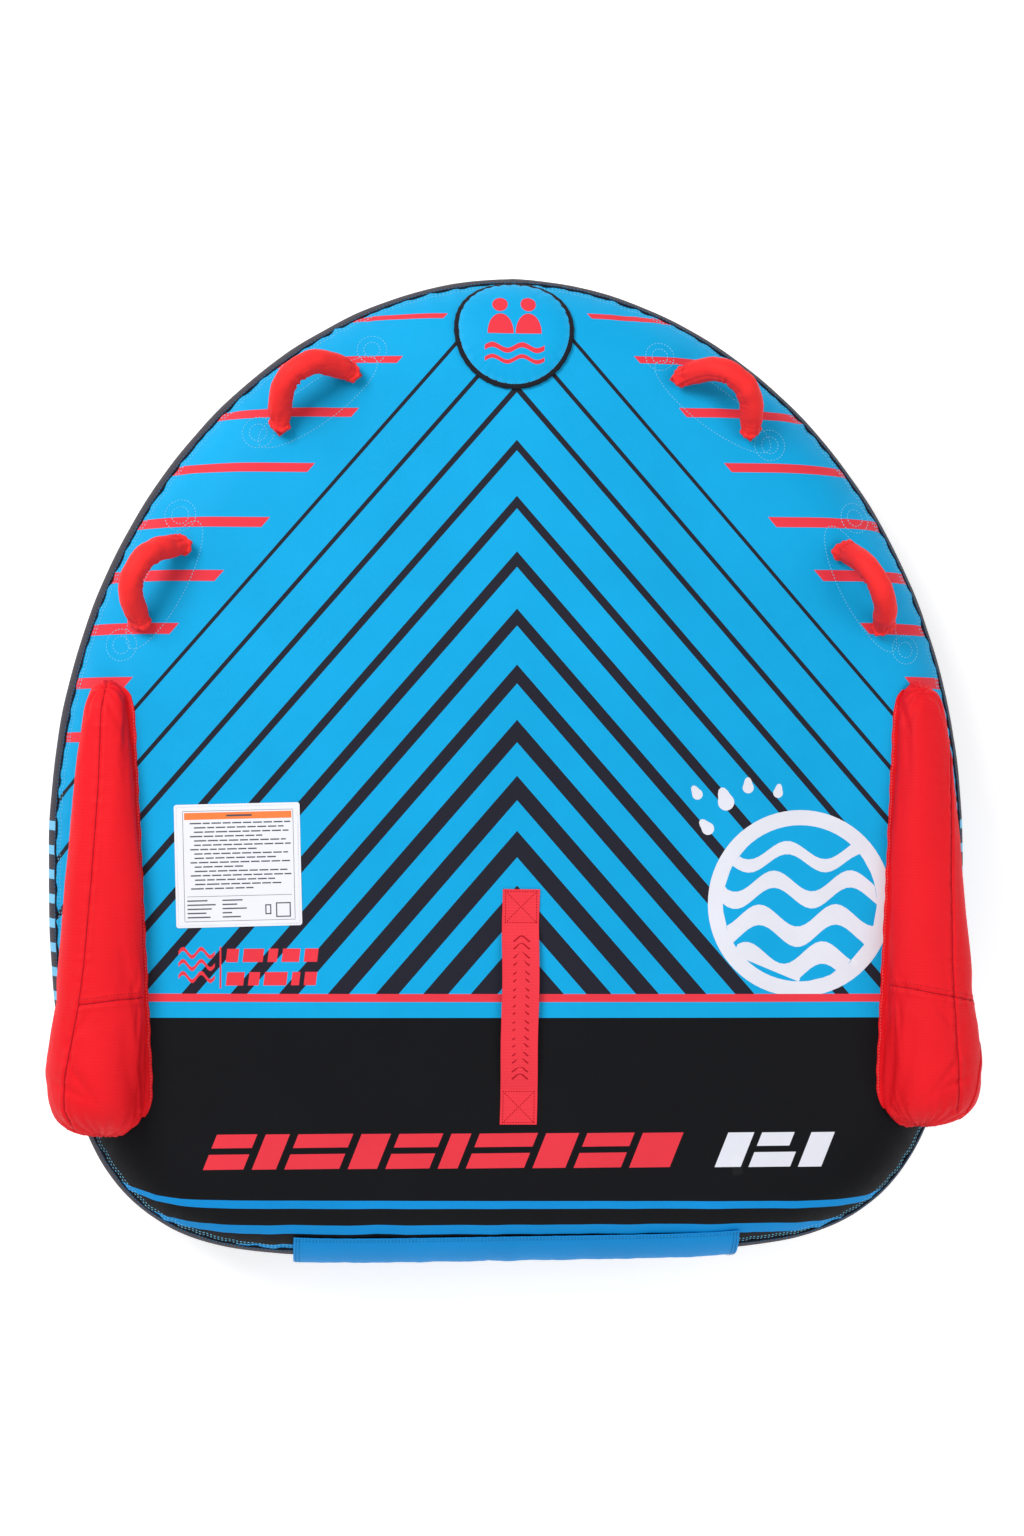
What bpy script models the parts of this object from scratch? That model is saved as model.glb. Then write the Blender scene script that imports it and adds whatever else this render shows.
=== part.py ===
"""Two-rider towable deck tube: sewn nylon cover, air bladder, bolsters, handles, zip and tow point.

Metres, +Z up, +Y towards the nose. The tube lies on its flat underside with its box centred on the origin.
"""

import math

import bmesh
import bpy
import numpy as np
from mathutils import Matrix, Vector

# Plan outline: two half superellipses that share the widest line.
HALF_WIDTH = 0.7165
WIDEST_Y = -0.1416
NOSE_LENGTH = 0.9066
TAIL_LENGTH = 0.6180
NOSE_POWERS = (1.9, 2.1)
TAIL_POWERS = (5.5, 2.6)
NOSE_Y = WIDEST_Y + NOSE_LENGTH
TAIL_Y = WIDEST_Y - TAIL_LENGTH

# Inflated body.
EDGE_RADIUS = 0.125
DECK_Z = 2 * EDGE_RADIUS
CROWN = 0.006
CROWN_RUN = 0.40
DECK_SCALES = (1.0, 0.8, 0.45, 0.0)
SKIN = 0.0012
GAP = 0.0006
TOUCH = 0.0003
SEAM_ANGLE = 33.5
SEAM_HALF = 0.55
SEAM_GAP = 0.15
BLADDER_DEPTH = 0.0038
BLADDER_WALL = 0.0008
BLADDER_SLACK = 0.0040
BAFFLE_X = (-0.26, 0.0, 0.26)
BAFFLE_Y = (-0.56, 0.42)
BAFFLE_HALF = 0.0005

# Valve and its round cover flap on the nose.
VALVE_Y = 0.610
NECK_RADIUS = 0.026
BORE_RADIUS = 0.020
CAP_RADIUS = 0.024
CAP_TOP = 0.0066
CAP_BEVEL = 0.0015
PLUG_DEPTH = 0.006
NECK_DEPTH = 0.016
NECK_TOP = 0.0015
FLANGE_RADIUS = 0.034
FLANGE_THICKNESS = 0.0008
COVER_HOLE_RADIUS = 0.031
FLAP_X = -0.004
FLAP_Y = 0.6615
FLAP_RADIUS = 0.0815
FLAP_RIM = 0.0905
FLAP_BASE = 0.0018
FLAP_DOME = 0.0110
FLAP_TAPE = 0.0030
FLAP_HINGE_LIFT = 0.0035

# Label patch and boarding strap: corners in plan before each is turned.
LABEL_X = (-0.5110, -0.3240)
LABEL_Y = (-0.2370, -0.0530)
LABEL_THICKNESS = 0.0006
LABEL_TURN = 1.5
STRAP_X = (-0.0240, 0.0320)
STRAP_Y = (-0.5375, -0.1825)
STRAP_THICKNESS = 0.0016
STRAP_TURN = -0.7
STRAP_SEWN = 0.0525
STRAP_BOW = 0.010
STRAP_BOW_HALF = 0.125

# Bolsters: straight inner and outer foot lines that spread towards the tail.
BOLSTER_FRONT_Y = 0.131
BOLSTER_TAIL_Y = -0.553
BOLSTER_SEAM_Y = -0.353
BOLSTER_REF_Y = -0.44
BOLSTER_INNER_X = 0.557
BOLSTER_OUTER_X = 0.672
BOLSTER_SPREAD = 0.0475
BOLSTER_RISE = 0.100
BOLSTER_RISE_SLOPE = 0.108
BOLSTER_NOSE = 0.055
BOLSTER_TAIL = 0.100
BOLSTER_ROUND = 2.2
BOLSTER_FULLNESS = 2.4
BOLSTER_DRIFT = 0.008
BOLSTER_LEAN = 30.0
BOLSTER_TWIST = 22.0
BOLSTER_LIFT = 0.0020
HEM_WIDTH = 0.0092
HEM_GAP = 0.0008
HEM_ENDS = (0.085, -0.495)

# Grab handles: where each loop is sewn down, on the right side, and how far each one leans outward.
HANDLE_ENDS = {
    "front": ((0.244, 0.590), (0.354, 0.508)),
    "rear": ((0.496, 0.333), (0.559, 0.214)),
}
HANDLE_LEAN = {
    ("front", "left"): 40.0,
    ("front", "right"): 34.0,
    ("rear", "left"): 31.0,
    ("rear", "right"): 5.0,
}
HANDLE_HEIGHT = 0.068
HANDLE_AXIS_LIFT = 0.004
SLEEVE_FOOT = 0.018
SLEEVE_RADIUS = 0.0190
SLEEVE_END_RADIUS = 0.0115
SLEEVE_WALL = 0.0010
FOAM_BORE = 0.0085
WEBBING_HALF = (0.0060, 0.0020)
WEBBING_FOOT = 0.009
ANCHOR_HALF = (0.082, 0.018)
ANCHOR_DEPTH = 0.0022

# Zip and its cover flap across the tail.
ZIP_HALF_LENGTH = 0.250
ZIP_TAPE_HALF = 0.016
ZIP_TAPE = 0.0009
ZIP_TEETH = (0.0018, 0.0025)
ZIP_START_X = -0.236
SLIDER_HALF = (0.0070, 0.0062)
SLIDER_DEPTH = 0.0034
SLIDER_CHANNEL = (0.0030, 0.0022)
PULL_HALF = 0.0045
PULL_LENGTH = 0.020
PULL_THICKNESS = 0.0010
ZIP_FLAP_X = (-0.339, 0.347)
ZIP_FLAP_TOP = 52.0
ZIP_FLAP_BOTTOM = -20.0
ZIP_FLAP_BASE = 0.0020
ZIP_FLAP_STAND = 0.0112
ZIP_FLAP_RUN = 42.0

# Tow point under the nose.
TOW_ANGLE = -41.0
TOW_STACK = 0.0060
TOW_PLATE = (0.056, 0.044, 0.005)
TOW_NECK_RADIUS = 0.008
TOW_NECK_HEIGHT = 0.018
TOW_HEAD_RADIUS = 0.018
TOW_HEAD_HEIGHT = 0.006
TOW_RIVET_X = 0.021
TOW_RIVET = ((0.0055, 0.0), (0.0045, 0.0022))
TOW_RIVET_TOP = 0.0028
TOW_PATCH = (0.080, -10.0, -66.0, 0.0018, 0.0012)
TOW_WEBBING = (0.024, -8.0, -68.0, 0.0036, 0.0014)

NYLON_BLUE = ((0.0, 0.46, 0.80), 0.62, 0.0)
NYLON_DARK = ((0.022, 0.024, 0.035), 0.65, 0.0)
NYLON_RED = ((0.84, 0.022, 0.032), 0.60, 0.0)
VINYL = ((0.55, 0.57, 0.60), 0.35, 0.0)
WEBBING_RED = ((0.86, 0.07, 0.09), 0.70, 0.0)
FOAM = ((0.12, 0.12, 0.13), 0.90, 0.0)
LABEL_WHITE = ((0.82, 0.82, 0.86), 0.45, 0.0)
PLASTIC_BLACK = ((0.02, 0.02, 0.022), 0.40, 0.0)
ALUMINIUM = ((0.78, 0.79, 0.80), 0.30, 1.0)


def clear_scene():
    for obj in list(bpy.data.objects):
        bpy.data.objects.remove(obj, do_unlink=True)


# ---------------------------------------------------------------- the tube's surface


def outline_point(turn):
    """Plan point at a turn from the nose, clockwise from above, and its outward normal.

    The turn is stretched in each quadrant so that points stay close together along a flat end.
    """
    side = 1.0 if math.sin(turn) >= 0 else -1.0
    nose = math.cos(turn) >= 0
    across_power, along_power = NOSE_POWERS if nose else TAIL_POWERS
    length = NOSE_LENGTH if nose else TAIL_LENGTH
    quarter = math.pi / 2
    spread = quarter * (math.acos(min(abs(math.cos(turn)), 1.0)) / quarter) ** (across_power / 2)
    across = math.sin(spread) ** (2 / across_power)
    along = abs(math.cos(spread)) ** (2 / along_power)
    normal = Vector(
        (
            side * across_power * across ** (across_power - 1) / HALF_WIDTH,
            (1 if nose else -1) * along_power * along ** (along_power - 1) / length,
        )
    )
    point = Vector((side * HALF_WIDTH * across, WIDEST_Y + (length if nose else -length) * along))
    return point, normal.normalized()


SAMPLES = 2400
DENSE = [outline_point(2 * math.pi * i / SAMPLES) for i in range(SAMPLES + 1)]
DENSE_XY = np.array([tuple(p) for p, _ in DENSE])
DENSE_N = np.array([tuple(n) for _, n in DENSE])
DENSE_S = np.concatenate([[0.0], np.cumsum(np.linalg.norm(np.diff(DENSE_XY, axis=0), axis=1))])
PERIMETER = float(DENSE_S[-1])


def edge_at(along):
    """Outline point and normal at an arc length from the nose, wrapping round."""
    s = along % PERIMETER
    point = Vector([float(np.interp(s, DENSE_S, DENSE_XY[:, k])) for k in (0, 1)])
    normal = Vector([float(np.interp(s, DENSE_S, DENSE_N[:, k])) for k in (0, 1)])
    return point, normal.normalized()


def edge_station(x, tail):
    """Arc length from the nose at which the nose half or the tail half of the outline has this x."""
    half = SAMPLES // 4
    if tail:
        rows = slice(half, 3 * half)
        order = np.argsort(DENSE_XY[rows, 0])
        return float(np.interp(x, DENSE_XY[rows, 0][order], DENSE_S[rows][order]))
    rows = np.r_[3 * half : SAMPLES, 0:half]
    signed = np.where(rows > SAMPLES // 2, DENSE_S[rows] - PERIMETER, DENSE_S[rows])
    return float(np.interp(x, DENSE_XY[rows, 0], signed))


def edge_surface(along, angle, offset):
    """Point on the rounded side at an angle in degrees above its widest line."""
    point, normal = edge_at(along)
    reach = (EDGE_RADIUS + offset) * math.cos(math.radians(angle)) - EDGE_RADIUS
    flat = point + normal * reach
    return Vector((flat.x, flat.y, EDGE_RADIUS + (EDGE_RADIUS + offset) * math.sin(math.radians(angle))))


def inset_at(x, y):
    """Distance from a plan point to the outline."""
    return float(np.min(np.hypot(DENSE_XY[:, 0] - x, DENSE_XY[:, 1] - y)))


def deck_point(x, y, offset):
    """Point over a plan position, at an offset from the upper surface."""
    inset = inset_at(x, y)
    if inset < EDGE_RADIUS:
        side = EDGE_RADIUS - inset
        height = EDGE_RADIUS + math.sqrt(max((EDGE_RADIUS + offset) ** 2 - side**2, 0.0))
        return Vector((x, y, height))
    rise = min((inset - EDGE_RADIUS) / CROWN_RUN, 1.0)
    return Vector((x, y, DECK_Z + offset + CROWN * rise * rise * (3 - 2 * rise)))


def edge_ring(count, angle, offset):
    return [edge_surface(PERIMETER * i / count, angle, offset) for i in range(count)]


def deck_ring(count, scale, offset, top):
    """Ring of the flat upper or lower face, shrunk towards the middle; one point at scale zero."""
    middle = Vector((0.0, WIDEST_Y))
    ring = []
    for i in range(count if scale > 0 else 1):
        point, normal = edge_at(PERIMETER * i / count)
        flat = middle + (point - normal * EDGE_RADIUS - middle) * scale
        if top:
            ring.append(deck_point(flat.x, flat.y, offset))
        else:
            ring.append(Vector((flat.x, flat.y, -offset)))
    return ring


# ---------------------------------------------------------------- mesh helpers


def join_rings(bm, rings, wrap):
    """Skin a sequence of rings; a ring of one point closes as a fan."""
    rows = [[bm.verts.new(p) for p in ring] for ring in rings]
    pairs = list(zip(rows, rows[1:]))
    if wrap:
        pairs.append((rows[-1], rows[0]))
    for low, high in pairs:
        count = max(len(low), len(high))
        for i in range(count):
            j = (i + 1) % count
            corners = []
            for vert in (low[i % len(low)], low[j % len(low)], high[j % len(high)], high[i % len(high)]):
                if vert not in corners:
                    corners.append(vert)
            bm.faces.new(corners)
    return rows


def finish(name, bm, material, smooth=40):
    """Turn a bmesh into a named object with outward faces."""
    bmesh.ops.remove_doubles(bm, verts=bm.verts, dist=0.00002)
    bmesh.ops.recalc_face_normals(bm, faces=bm.faces)
    mesh = bpy.data.meshes.new(name)
    bm.to_mesh(mesh)
    bm.free()
    mesh.shade_smooth()
    mesh.set_sharp_from_angle(angle=math.radians(smooth))
    obj = bpy.data.objects.new(name, mesh)
    bpy.context.scene.collection.objects.link(obj)
    colour, roughness, metallic = material
    surface = bpy.data.materials.new(name)
    surface.use_nodes = True
    shader = surface.node_tree.nodes["Principled BSDF"]
    shader.inputs["Base Color"].default_value = (*colour, 1.0)
    shader.inputs["Roughness"].default_value = roughness
    shader.inputs["Metallic"].default_value = metallic
    mesh.materials.append(surface)
    return obj


def ringed(name, rings, material, wrap=False, caps=False):
    bm = bmesh.new()
    rows = join_rings(bm, rings, wrap)
    if caps:
        bm.faces.new(rows[0])
        bm.faces.new(rows[-1])
    return finish(name, bm, material)


def slab(name, upper, lower, material):
    """Solid between two matching grids of points."""
    bm = bmesh.new()
    top = [[bm.verts.new(p) for p in row] for row in upper]
    bottom = [[bm.verts.new(p) for p in row] for row in lower]
    for grid in (top, bottom):
        for row, after in zip(grid, grid[1:]):
            for i in range(len(row) - 1):
                bm.faces.new((row[i], row[i + 1], after[i + 1], after[i]))
    walls = [(top[0], bottom[0]), (top[-1], bottom[-1])]
    for column in (0, -1):
        walls.append(([row[column] for row in top], [row[column] for row in bottom]))
    for high, low in walls:
        for i in range(len(high) - 1):
            bm.faces.new((high[i], high[i + 1], low[i + 1], low[i]))
    bmesh.ops.remove_doubles(bm, verts=bm.verts, dist=0.00002)
    return finish(name, bm, material)


def box(name, low, high, material, place=None):
    bm = bmesh.new()
    size = [h - a for h, a in zip(high, low)]
    centre = [(h + a) / 2 for h, a in zip(high, low)]
    bmesh.ops.create_cube(bm, size=1.0, matrix=Matrix.Translation(centre) @ Matrix.Diagonal((*size, 1.0)))
    if place is not None:
        bmesh.ops.transform(bm, matrix=place, verts=bm.verts)
    return finish(name, bm, material)


def turned(name, profile, sides, centre, material, place=None, wrap=True):
    """Solid of revolution about Z from (radius, height) pairs."""
    rings = []
    for radius, height in profile:
        count = sides if radius > 0 else 1
        rings.append(
            [
                Vector(centre) + Vector((radius * math.cos(a), radius * math.sin(a), height))
                for a in (2 * math.pi * i / count for i in range(count))
            ]
        )
    if place is not None:
        rings = [[place @ p for p in ring] for ring in rings]
    return ringed(name, rings, material, wrap=wrap)


def cut(obj, cutter, operation="DIFFERENCE"):
    cutter.hide_render = True
    cutter.display_type = "WIRE"
    modifier = obj.modifiers.new(operation.title(), "BOOLEAN")
    modifier.operation = operation
    modifier.object = cutter
    modifier.solver = "EXACT"


def hang_on_axis(objects, name, origin):
    """Put moving pieces on an empty whose origin lies on their joint's axis."""
    pivot = bpy.data.objects.new(name, None)
    pivot.location = origin
    bpy.context.scene.collection.objects.link(pivot)
    for obj in objects:
        obj.parent = pivot
        obj.matrix_parent_inverse = Matrix.Translation(-Vector(origin))


# ---------------------------------------------------------------- cover and bladder


def steps(start, end, count):
    return [start + (end - start) * i / (count - 1) for i in range(count)]


def build_cover():
    count = 60
    flat_scales = (1.0, 0.5, 0.0)
    edge = SEAM_ANGLE + SEAM_HALF + SEAM_GAP
    top_angles = steps(edge, 90.0, 6)
    bottom_angles = steps(-edge, -90.0, 5)
    outer = [edge_ring(count, a, 0.0) for a in top_angles[:-1]]
    outer += [deck_ring(count, s, 0.0, True) for s in DECK_SCALES]
    inner = [edge_ring(count, a, -SKIN) for a in top_angles[:-1]]
    inner += [deck_ring(count, s, -SKIN, True) for s in DECK_SCALES]
    cover = ringed("top_cover", outer[::-1] + inner, NYLON_BLUE)
    hole = turned(
        "valve_hole_cutter",
        [(0.0, DECK_Z - 0.02), (COVER_HOLE_RADIUS, DECK_Z - 0.02),
         (COVER_HOLE_RADIUS, DECK_Z + 0.02), (0.0, DECK_Z + 0.02)],
        24,
        (0.0, VALVE_Y, 0.0),
        NYLON_BLUE,
        wrap=False,
    )
    cut(cover, hole)

    outer = [edge_ring(count, a, 0.0) for a in bottom_angles[:-1]]
    outer += [deck_ring(count, s, 0.0, False) for s in flat_scales]
    inner = [edge_ring(count, a, -SKIN) for a in bottom_angles[:-1]]
    inner += [deck_ring(count, s, -SKIN, False) for s in flat_scales]
    ringed("bottom_cover", outer[::-1] + inner, NYLON_DARK)

    panel = steps(SEAM_ANGLE - SEAM_HALF - SEAM_GAP, -(SEAM_ANGLE - SEAM_HALF - SEAM_GAP), 5)
    outer = [edge_ring(count, a, 0.0) for a in panel]
    inner = [edge_ring(count, a, -SKIN) for a in panel[::-1]]
    ringed("side_panel", outer + inner, NYLON_DARK, wrap=True)

    for name, middle in (("upper_seam_binding", SEAM_ANGLE), ("lower_seam_binding", -SEAM_ANGLE)):
        corners = ((-SEAM_HALF, -SKIN), (-SEAM_HALF, 0.001), (SEAM_HALF, 0.001), (SEAM_HALF, -SKIN))
        rings = [edge_ring(count, middle + across, offset) for across, offset in corners]
        ringed(name, rings, NYLON_DARK, wrap=True)


def bladder_rings(count, offset):
    angles = steps(67.5, -67.5, 7)
    rings = [deck_ring(count, s, offset, True) for s in DECK_SCALES[::-1]]
    rings += [edge_ring(count, a, offset - BLADDER_SLACK * math.cos(math.radians(a))) for a in angles]
    return rings + [deck_ring(count, s, offset, False) for s in (1.0, 0.0)]


def build_bladder():
    count = 44
    bm = bmesh.new()
    join_rings(bm, bladder_rings(count, -BLADDER_DEPTH), False)
    outside = finish("bladder", bm, VINYL)
    hollow = ringed("bladder_hollow_cutter", bladder_rings(count, -BLADDER_DEPTH - BLADDER_WALL), VINYL)
    cut(outside, hollow)
    neck = turned(
        "bladder_neck_cutter",
        [(0.0, DECK_Z - 0.02), (NECK_RADIUS + 0.0008, DECK_Z - 0.02),
         (NECK_RADIUS + 0.0008, DECK_Z + 0.02), (0.0, DECK_Z + 0.02)],
        24,
        (0.0, VALVE_Y, 0.0),
        VINYL,
        wrap=False,
    )
    cut(outside, neck)
    depth = BLADDER_DEPTH + BLADDER_WALL + GAP
    for index, x in enumerate(BAFFLE_X):
        rows = steps(*BAFFLE_Y, 9)
        sides = []
        for side in (-BAFFLE_HALF, BAFFLE_HALF):
            high = [deck_point(x + side, y, -depth - 0.0006) for y in rows]
            low = [Vector((x + side, y, depth)) for y in rows]
            sides.append([high, low])
        slab(f"bladder_baffle_{index + 1}", sides[0], sides[1], VINYL)


# ---------------------------------------------------------------- valve


def flap_point(radius, turn, offset):
    """Point of the round flap, laid over the nose by walking along the surface from its middle line."""
    x = FLAP_X + radius * math.sin(turn)
    run = radius * math.cos(turn)
    y = FLAP_Y
    count = 12
    for _ in range(count):
        ahead = deck_point(x, y + 0.001, 0.0).z - deck_point(x, y, 0.0).z
        y += run / count * math.cos(math.atan2(ahead, 0.001))
    inset = inset_at(x, y)
    point = deck_point(x, y, 0.0)
    if inset >= EDGE_RADIUS:
        return point + Vector((0, 0, offset))
    nearest = int(np.argmin(np.hypot(DENSE_XY[:, 0] - x, DENSE_XY[:, 1] - y)))
    out = Vector(DENSE_N[nearest]) * ((EDGE_RADIUS - inset) / EDGE_RADIUS)
    up = (point.z - EDGE_RADIUS) / EDGE_RADIUS
    return point + Vector((out.x, out.y, up)) * offset


def flap_ring(radius, offset):
    sides = 28
    if radius == 0:
        return [flap_point(0.0, 0.0, offset)]
    return [flap_point(radius, 2 * math.pi * i / sides, offset) for i in range(sides)]


def flap_offset(radius):
    return FLAP_BASE + FLAP_DOME * (1 - (radius / FLAP_RIM) ** 4)


def build_valve():
    low = DECK_Z - BLADDER_DEPTH + 0.0011
    high = low + FLANGE_THICKNESS
    bottom, top = DECK_Z - NECK_DEPTH, DECK_Z + NECK_TOP
    profile = [
        (BORE_RADIUS, bottom), (NECK_RADIUS, bottom), (NECK_RADIUS, low), (FLANGE_RADIUS, low),
        (FLANGE_RADIUS, high), (NECK_RADIUS, high), (NECK_RADIUS, top), (BORE_RADIUS, top),
    ]
    turned("valve_base", profile, 24, (0.0, VALVE_Y, 0.0), PLASTIC_BLACK)

    plug, bottom = BORE_RADIUS - 0.0005, DECK_Z - PLUG_DEPTH
    rim, top = DECK_Z + NECK_TOP + 0.0004, DECK_Z + CAP_TOP
    profile = [
        (0.0, bottom), (plug, bottom), (plug, rim), (CAP_RADIUS, rim),
        (CAP_RADIUS, top - CAP_BEVEL), (CAP_RADIUS - CAP_BEVEL, top), (0.0, top),
    ]
    cap = turned("valve_cap", profile, 24, (0.0, VALVE_Y, 0.0), PLASTIC_BLACK, wrap=False)
    hang_on_axis([cap], "valve_cap_axis", (0.0, VALVE_Y, DECK_Z))

    radii = (0.0, 0.25, 0.5, 0.75, 1.0)
    upper = [flap_ring(FLAP_RADIUS * r, flap_offset(FLAP_RADIUS * r) + SKIN) for r in radii]
    lower = [flap_ring(FLAP_RADIUS * r, flap_offset(FLAP_RADIUS * r)) for r in radii]
    flap = ringed("valve_flap", upper + lower[::-1], NYLON_BLUE)
    inner = FLAP_RADIUS + TOUCH
    base = flap_offset(FLAP_RADIUS) + (SKIN - FLAP_TAPE) / 2
    corners = ((inner, base), (inner, base + FLAP_TAPE), (FLAP_RIM, base + FLAP_TAPE), (FLAP_RIM, base))
    binding = ringed("valve_flap_binding", [flap_ring(r, o) for r, o in corners], NYLON_DARK, wrap=True)
    hinge = (0.0, FLAP_Y - FLAP_RIM, DECK_Z + FLAP_HINGE_LIFT)
    hang_on_axis([flap, binding], "valve_flap_axis", hinge)


# ---------------------------------------------------------------- flat pieces on the deck


def deck_slab(name, x_values, y_values, bottom, thickness, material, turn=0.0, lift=None):
    """Thin rectangular piece laid on the deck, optionally turned about its middle and bowed upward."""
    centre = Vector(((x_values[0] + x_values[-1]) / 2, (y_values[0] + y_values[-1]) / 2))
    grids = []
    for offset in (bottom + thickness, bottom):
        grid = []
        for y in y_values:
            row = []
            for x in x_values:
                dx, dy = x - centre.x, y - centre.y
                px = centre.x + dx * math.cos(turn) - dy * math.sin(turn)
                py = centre.y + dx * math.sin(turn) + dy * math.cos(turn)
                extra = lift(y) if lift else 0.0
                row.append(deck_point(px, py, offset + extra))
            grid.append(row)
        grids.append(grid)
    return slab(name, grids[0], grids[1], material)


def strap_lift(y):
    """The strap is sewn flat at both ends and bows up between them."""
    share = abs(y - sum(STRAP_Y) / 2) / STRAP_BOW_HALF
    return 0.0 if share >= 1 else STRAP_BOW * (1 - share**4)


def build_deck_pieces():
    label = (steps(*LABEL_X, 3), steps(*LABEL_Y, 3), GAP, LABEL_THICKNESS)
    deck_slab("label_patch", *label, LABEL_WHITE, math.radians(LABEL_TURN))
    tail, nose = STRAP_Y
    rows = [tail, *steps(tail + STRAP_SEWN, nose - STRAP_SEWN, 11), nose]
    strap = (steps(*STRAP_X, 2), rows, GAP, STRAP_THICKNESS)
    deck_slab("boarding_strap", *strap, WEBBING_RED, math.radians(STRAP_TURN), strap_lift)


# ---------------------------------------------------------------- bolsters


def bolster_size(y):
    """Middle x, half width and rise of the bolster at a station along its length."""
    ahead = y - BOLSTER_REF_Y
    inner = BOLSTER_INNER_X + BOLSTER_SPREAD * ahead
    outer = BOLSTER_OUTER_X - BOLSTER_SPREAD * ahead
    rise = BOLSTER_RISE - BOLSTER_RISE_SLOPE * ahead
    drift = BOLSTER_DRIFT * (min(ahead, 0.0) / (BOLSTER_TAIL_Y - BOLSTER_REF_Y)) ** 2
    taper = 1.0
    for end, length in ((BOLSTER_FRONT_Y - y, BOLSTER_NOSE), (y - BOLSTER_TAIL_Y, BOLSTER_TAIL)):
        if end < length:
            taper *= max(1 - (1 - max(end, 0.0) / length) ** BOLSTER_ROUND, 0.0) ** (1 / BOLSTER_ROUND)
    return (inner + outer) / 2 + drift, (outer - inner) / 2 * taper, rise * taper


def bolster_section(side, y, shrink, count):
    """Arch of one bolster section, from its inner foot over the top to its outer foot."""
    middle = (BOLSTER_FRONT_Y + BOLSTER_TAIL_Y) / 2
    length = BOLSTER_FRONT_Y - BOLSTER_TAIL_Y
    station = middle + (y - middle) * (1 - 2 * shrink / length)
    centre, half, rise = bolster_size(y)
    half, rise = max(half - shrink, 0.0), max(rise - shrink, 0.0)
    lean = math.radians(BOLSTER_LEAN + BOLSTER_TWIST * (BOLSTER_FRONT_Y - y) / length)
    power = 2 / BOLSTER_FULLNESS
    arch = []
    for i in range(count):
        turn = math.pi * i / (count - 1)
        across = -math.copysign(abs(math.cos(turn)) ** power, math.cos(turn))
        up = rise * max(math.sin(turn), 0.0) ** power
        foot = deck_point(centre + half * across, station, BOLSTER_LIFT)
        tilt = lean * (across + 1) / 2
        point = foot + Vector((math.sin(tilt) * up, 0.0, math.cos(tilt) * up))
        arch.append(Vector((side * point.x, point.y, point.z)))
    return arch


def bolster_stations(front, tail):
    """Stations from front to tail, closer together where an end rounds off."""
    stations = []
    if front == BOLSTER_FRONT_Y:
        stations += [front - BOLSTER_NOSE * (1 - math.cos(a)) for a in steps(0.0, math.pi / 2, 5)]
    else:
        stations.append(front)
    finish_y = tail + BOLSTER_TAIL if tail == BOLSTER_TAIL_Y else tail
    stations += steps(stations[-1], finish_y, 6 if front == BOLSTER_FRONT_Y else 3)[1:]
    if tail == BOLSTER_TAIL_Y:
        stations += [tail + BOLSTER_TAIL * (1 - math.sin(a)) for a in steps(0.0, math.pi / 2, 6)[1:]]
    return stations


def build_bolster(side_name, side):
    count = 9
    front = bolster_stations(BOLSTER_FRONT_Y, BOLSTER_SEAM_Y + GAP / 2)
    tail = bolster_stations(BOLSTER_SEAM_Y - GAP / 2, BOLSTER_TAIL_Y)
    for name, stations in (("cover", front), ("tail_cap", tail)):
        outer = [bolster_section(side, y, 0.0, count) for y in stations]
        inner = [bolster_section(side, y, SKIN, count) for y in stations]
        slab(f"{side_name}_bolster_{name}", outer, inner, NYLON_RED)

    rings = []
    shrink = SKIN + 2 * GAP
    for y in front[:-1] + tail[1:]:
        arch = bolster_section(side, y, shrink, count)
        feet = []
        for share in steps(0.0, 1.0, 6)[1:-1]:
            x = arch[-1].x + (arch[0].x - arch[-1].x) * share
            feet.append(deck_point(x, arch[0].y, BOLSTER_LIFT))
        rings.append(arch + feet)
    rings[0] = [rings[0][0]]
    rings[-1] = [rings[-1][0]]
    ringed(f"{side_name}_bolster_core", rings, FOAM)

    upper, lower = [], []
    for y in steps(*HEM_ENDS, 9):
        foot = BOLSTER_INNER_X + BOLSTER_SPREAD * (y - BOLSTER_REF_Y)
        columns = (foot - HEM_GAP - HEM_WIDTH, foot - HEM_GAP)
        upper.append([deck_point(side * x, y, GAP + SKIN) for x in columns])
        lower.append([deck_point(side * x, y, GAP) for x in columns])
    slab(f"{side_name}_bolster_hem", upper, lower, NYLON_RED)


# ---------------------------------------------------------------- grab handles


def handle_frame(row, side_name):
    """Middle of the sewn chord, directions along it, up the loop and across it, and half its length."""
    side = 1.0 if side_name == "right" else -1.0
    ends = [deck_point(side * x, y, HANDLE_AXIS_LIFT) for x, y in HANDLE_ENDS[row]]
    middle = (ends[0] + ends[1]) / 2
    along = (ends[1] - ends[0]).normalized()
    outward = along.cross(Vector((0, 0, 1))).normalized()
    if outward.x * side < 0:
        outward = -outward
    upright = along.cross(outward).normalized()
    if upright.z < 0:
        upright = -upright
    lean = math.radians(HANDLE_LEAN[(row, side_name)])
    rise = upright * math.cos(lean) + outward * math.sin(lean)
    return middle, along, rise, (ends[1] - ends[0]).length / 2


def handle_sections(frame, foot, count, shape):
    """Rings along the parabolic loop above a foot height; shape gives each ring's plan in its own plane."""
    middle, along, rise, half = frame
    across = along.cross(rise).normalized()
    reach = half * math.sqrt(1 - foot / HANDLE_HEIGHT)
    rings = []
    for i in range(count):
        share = -math.cos(math.pi * i / (count - 1))
        share = 0.5 * share + 0.5 * (2 * i / (count - 1) - 1)
        u = reach * share
        centre = middle + along * u + rise * (HANDLE_HEIGHT * (1 - (u / half) ** 2))
        tangent = (along - rise * (2 * HANDLE_HEIGHT * u / half**2)).normalized()
        side = across.cross(tangent).normalized()
        rings.append([centre + across * a + side * b for a, b in shape(abs(share))])
    return rings


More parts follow.
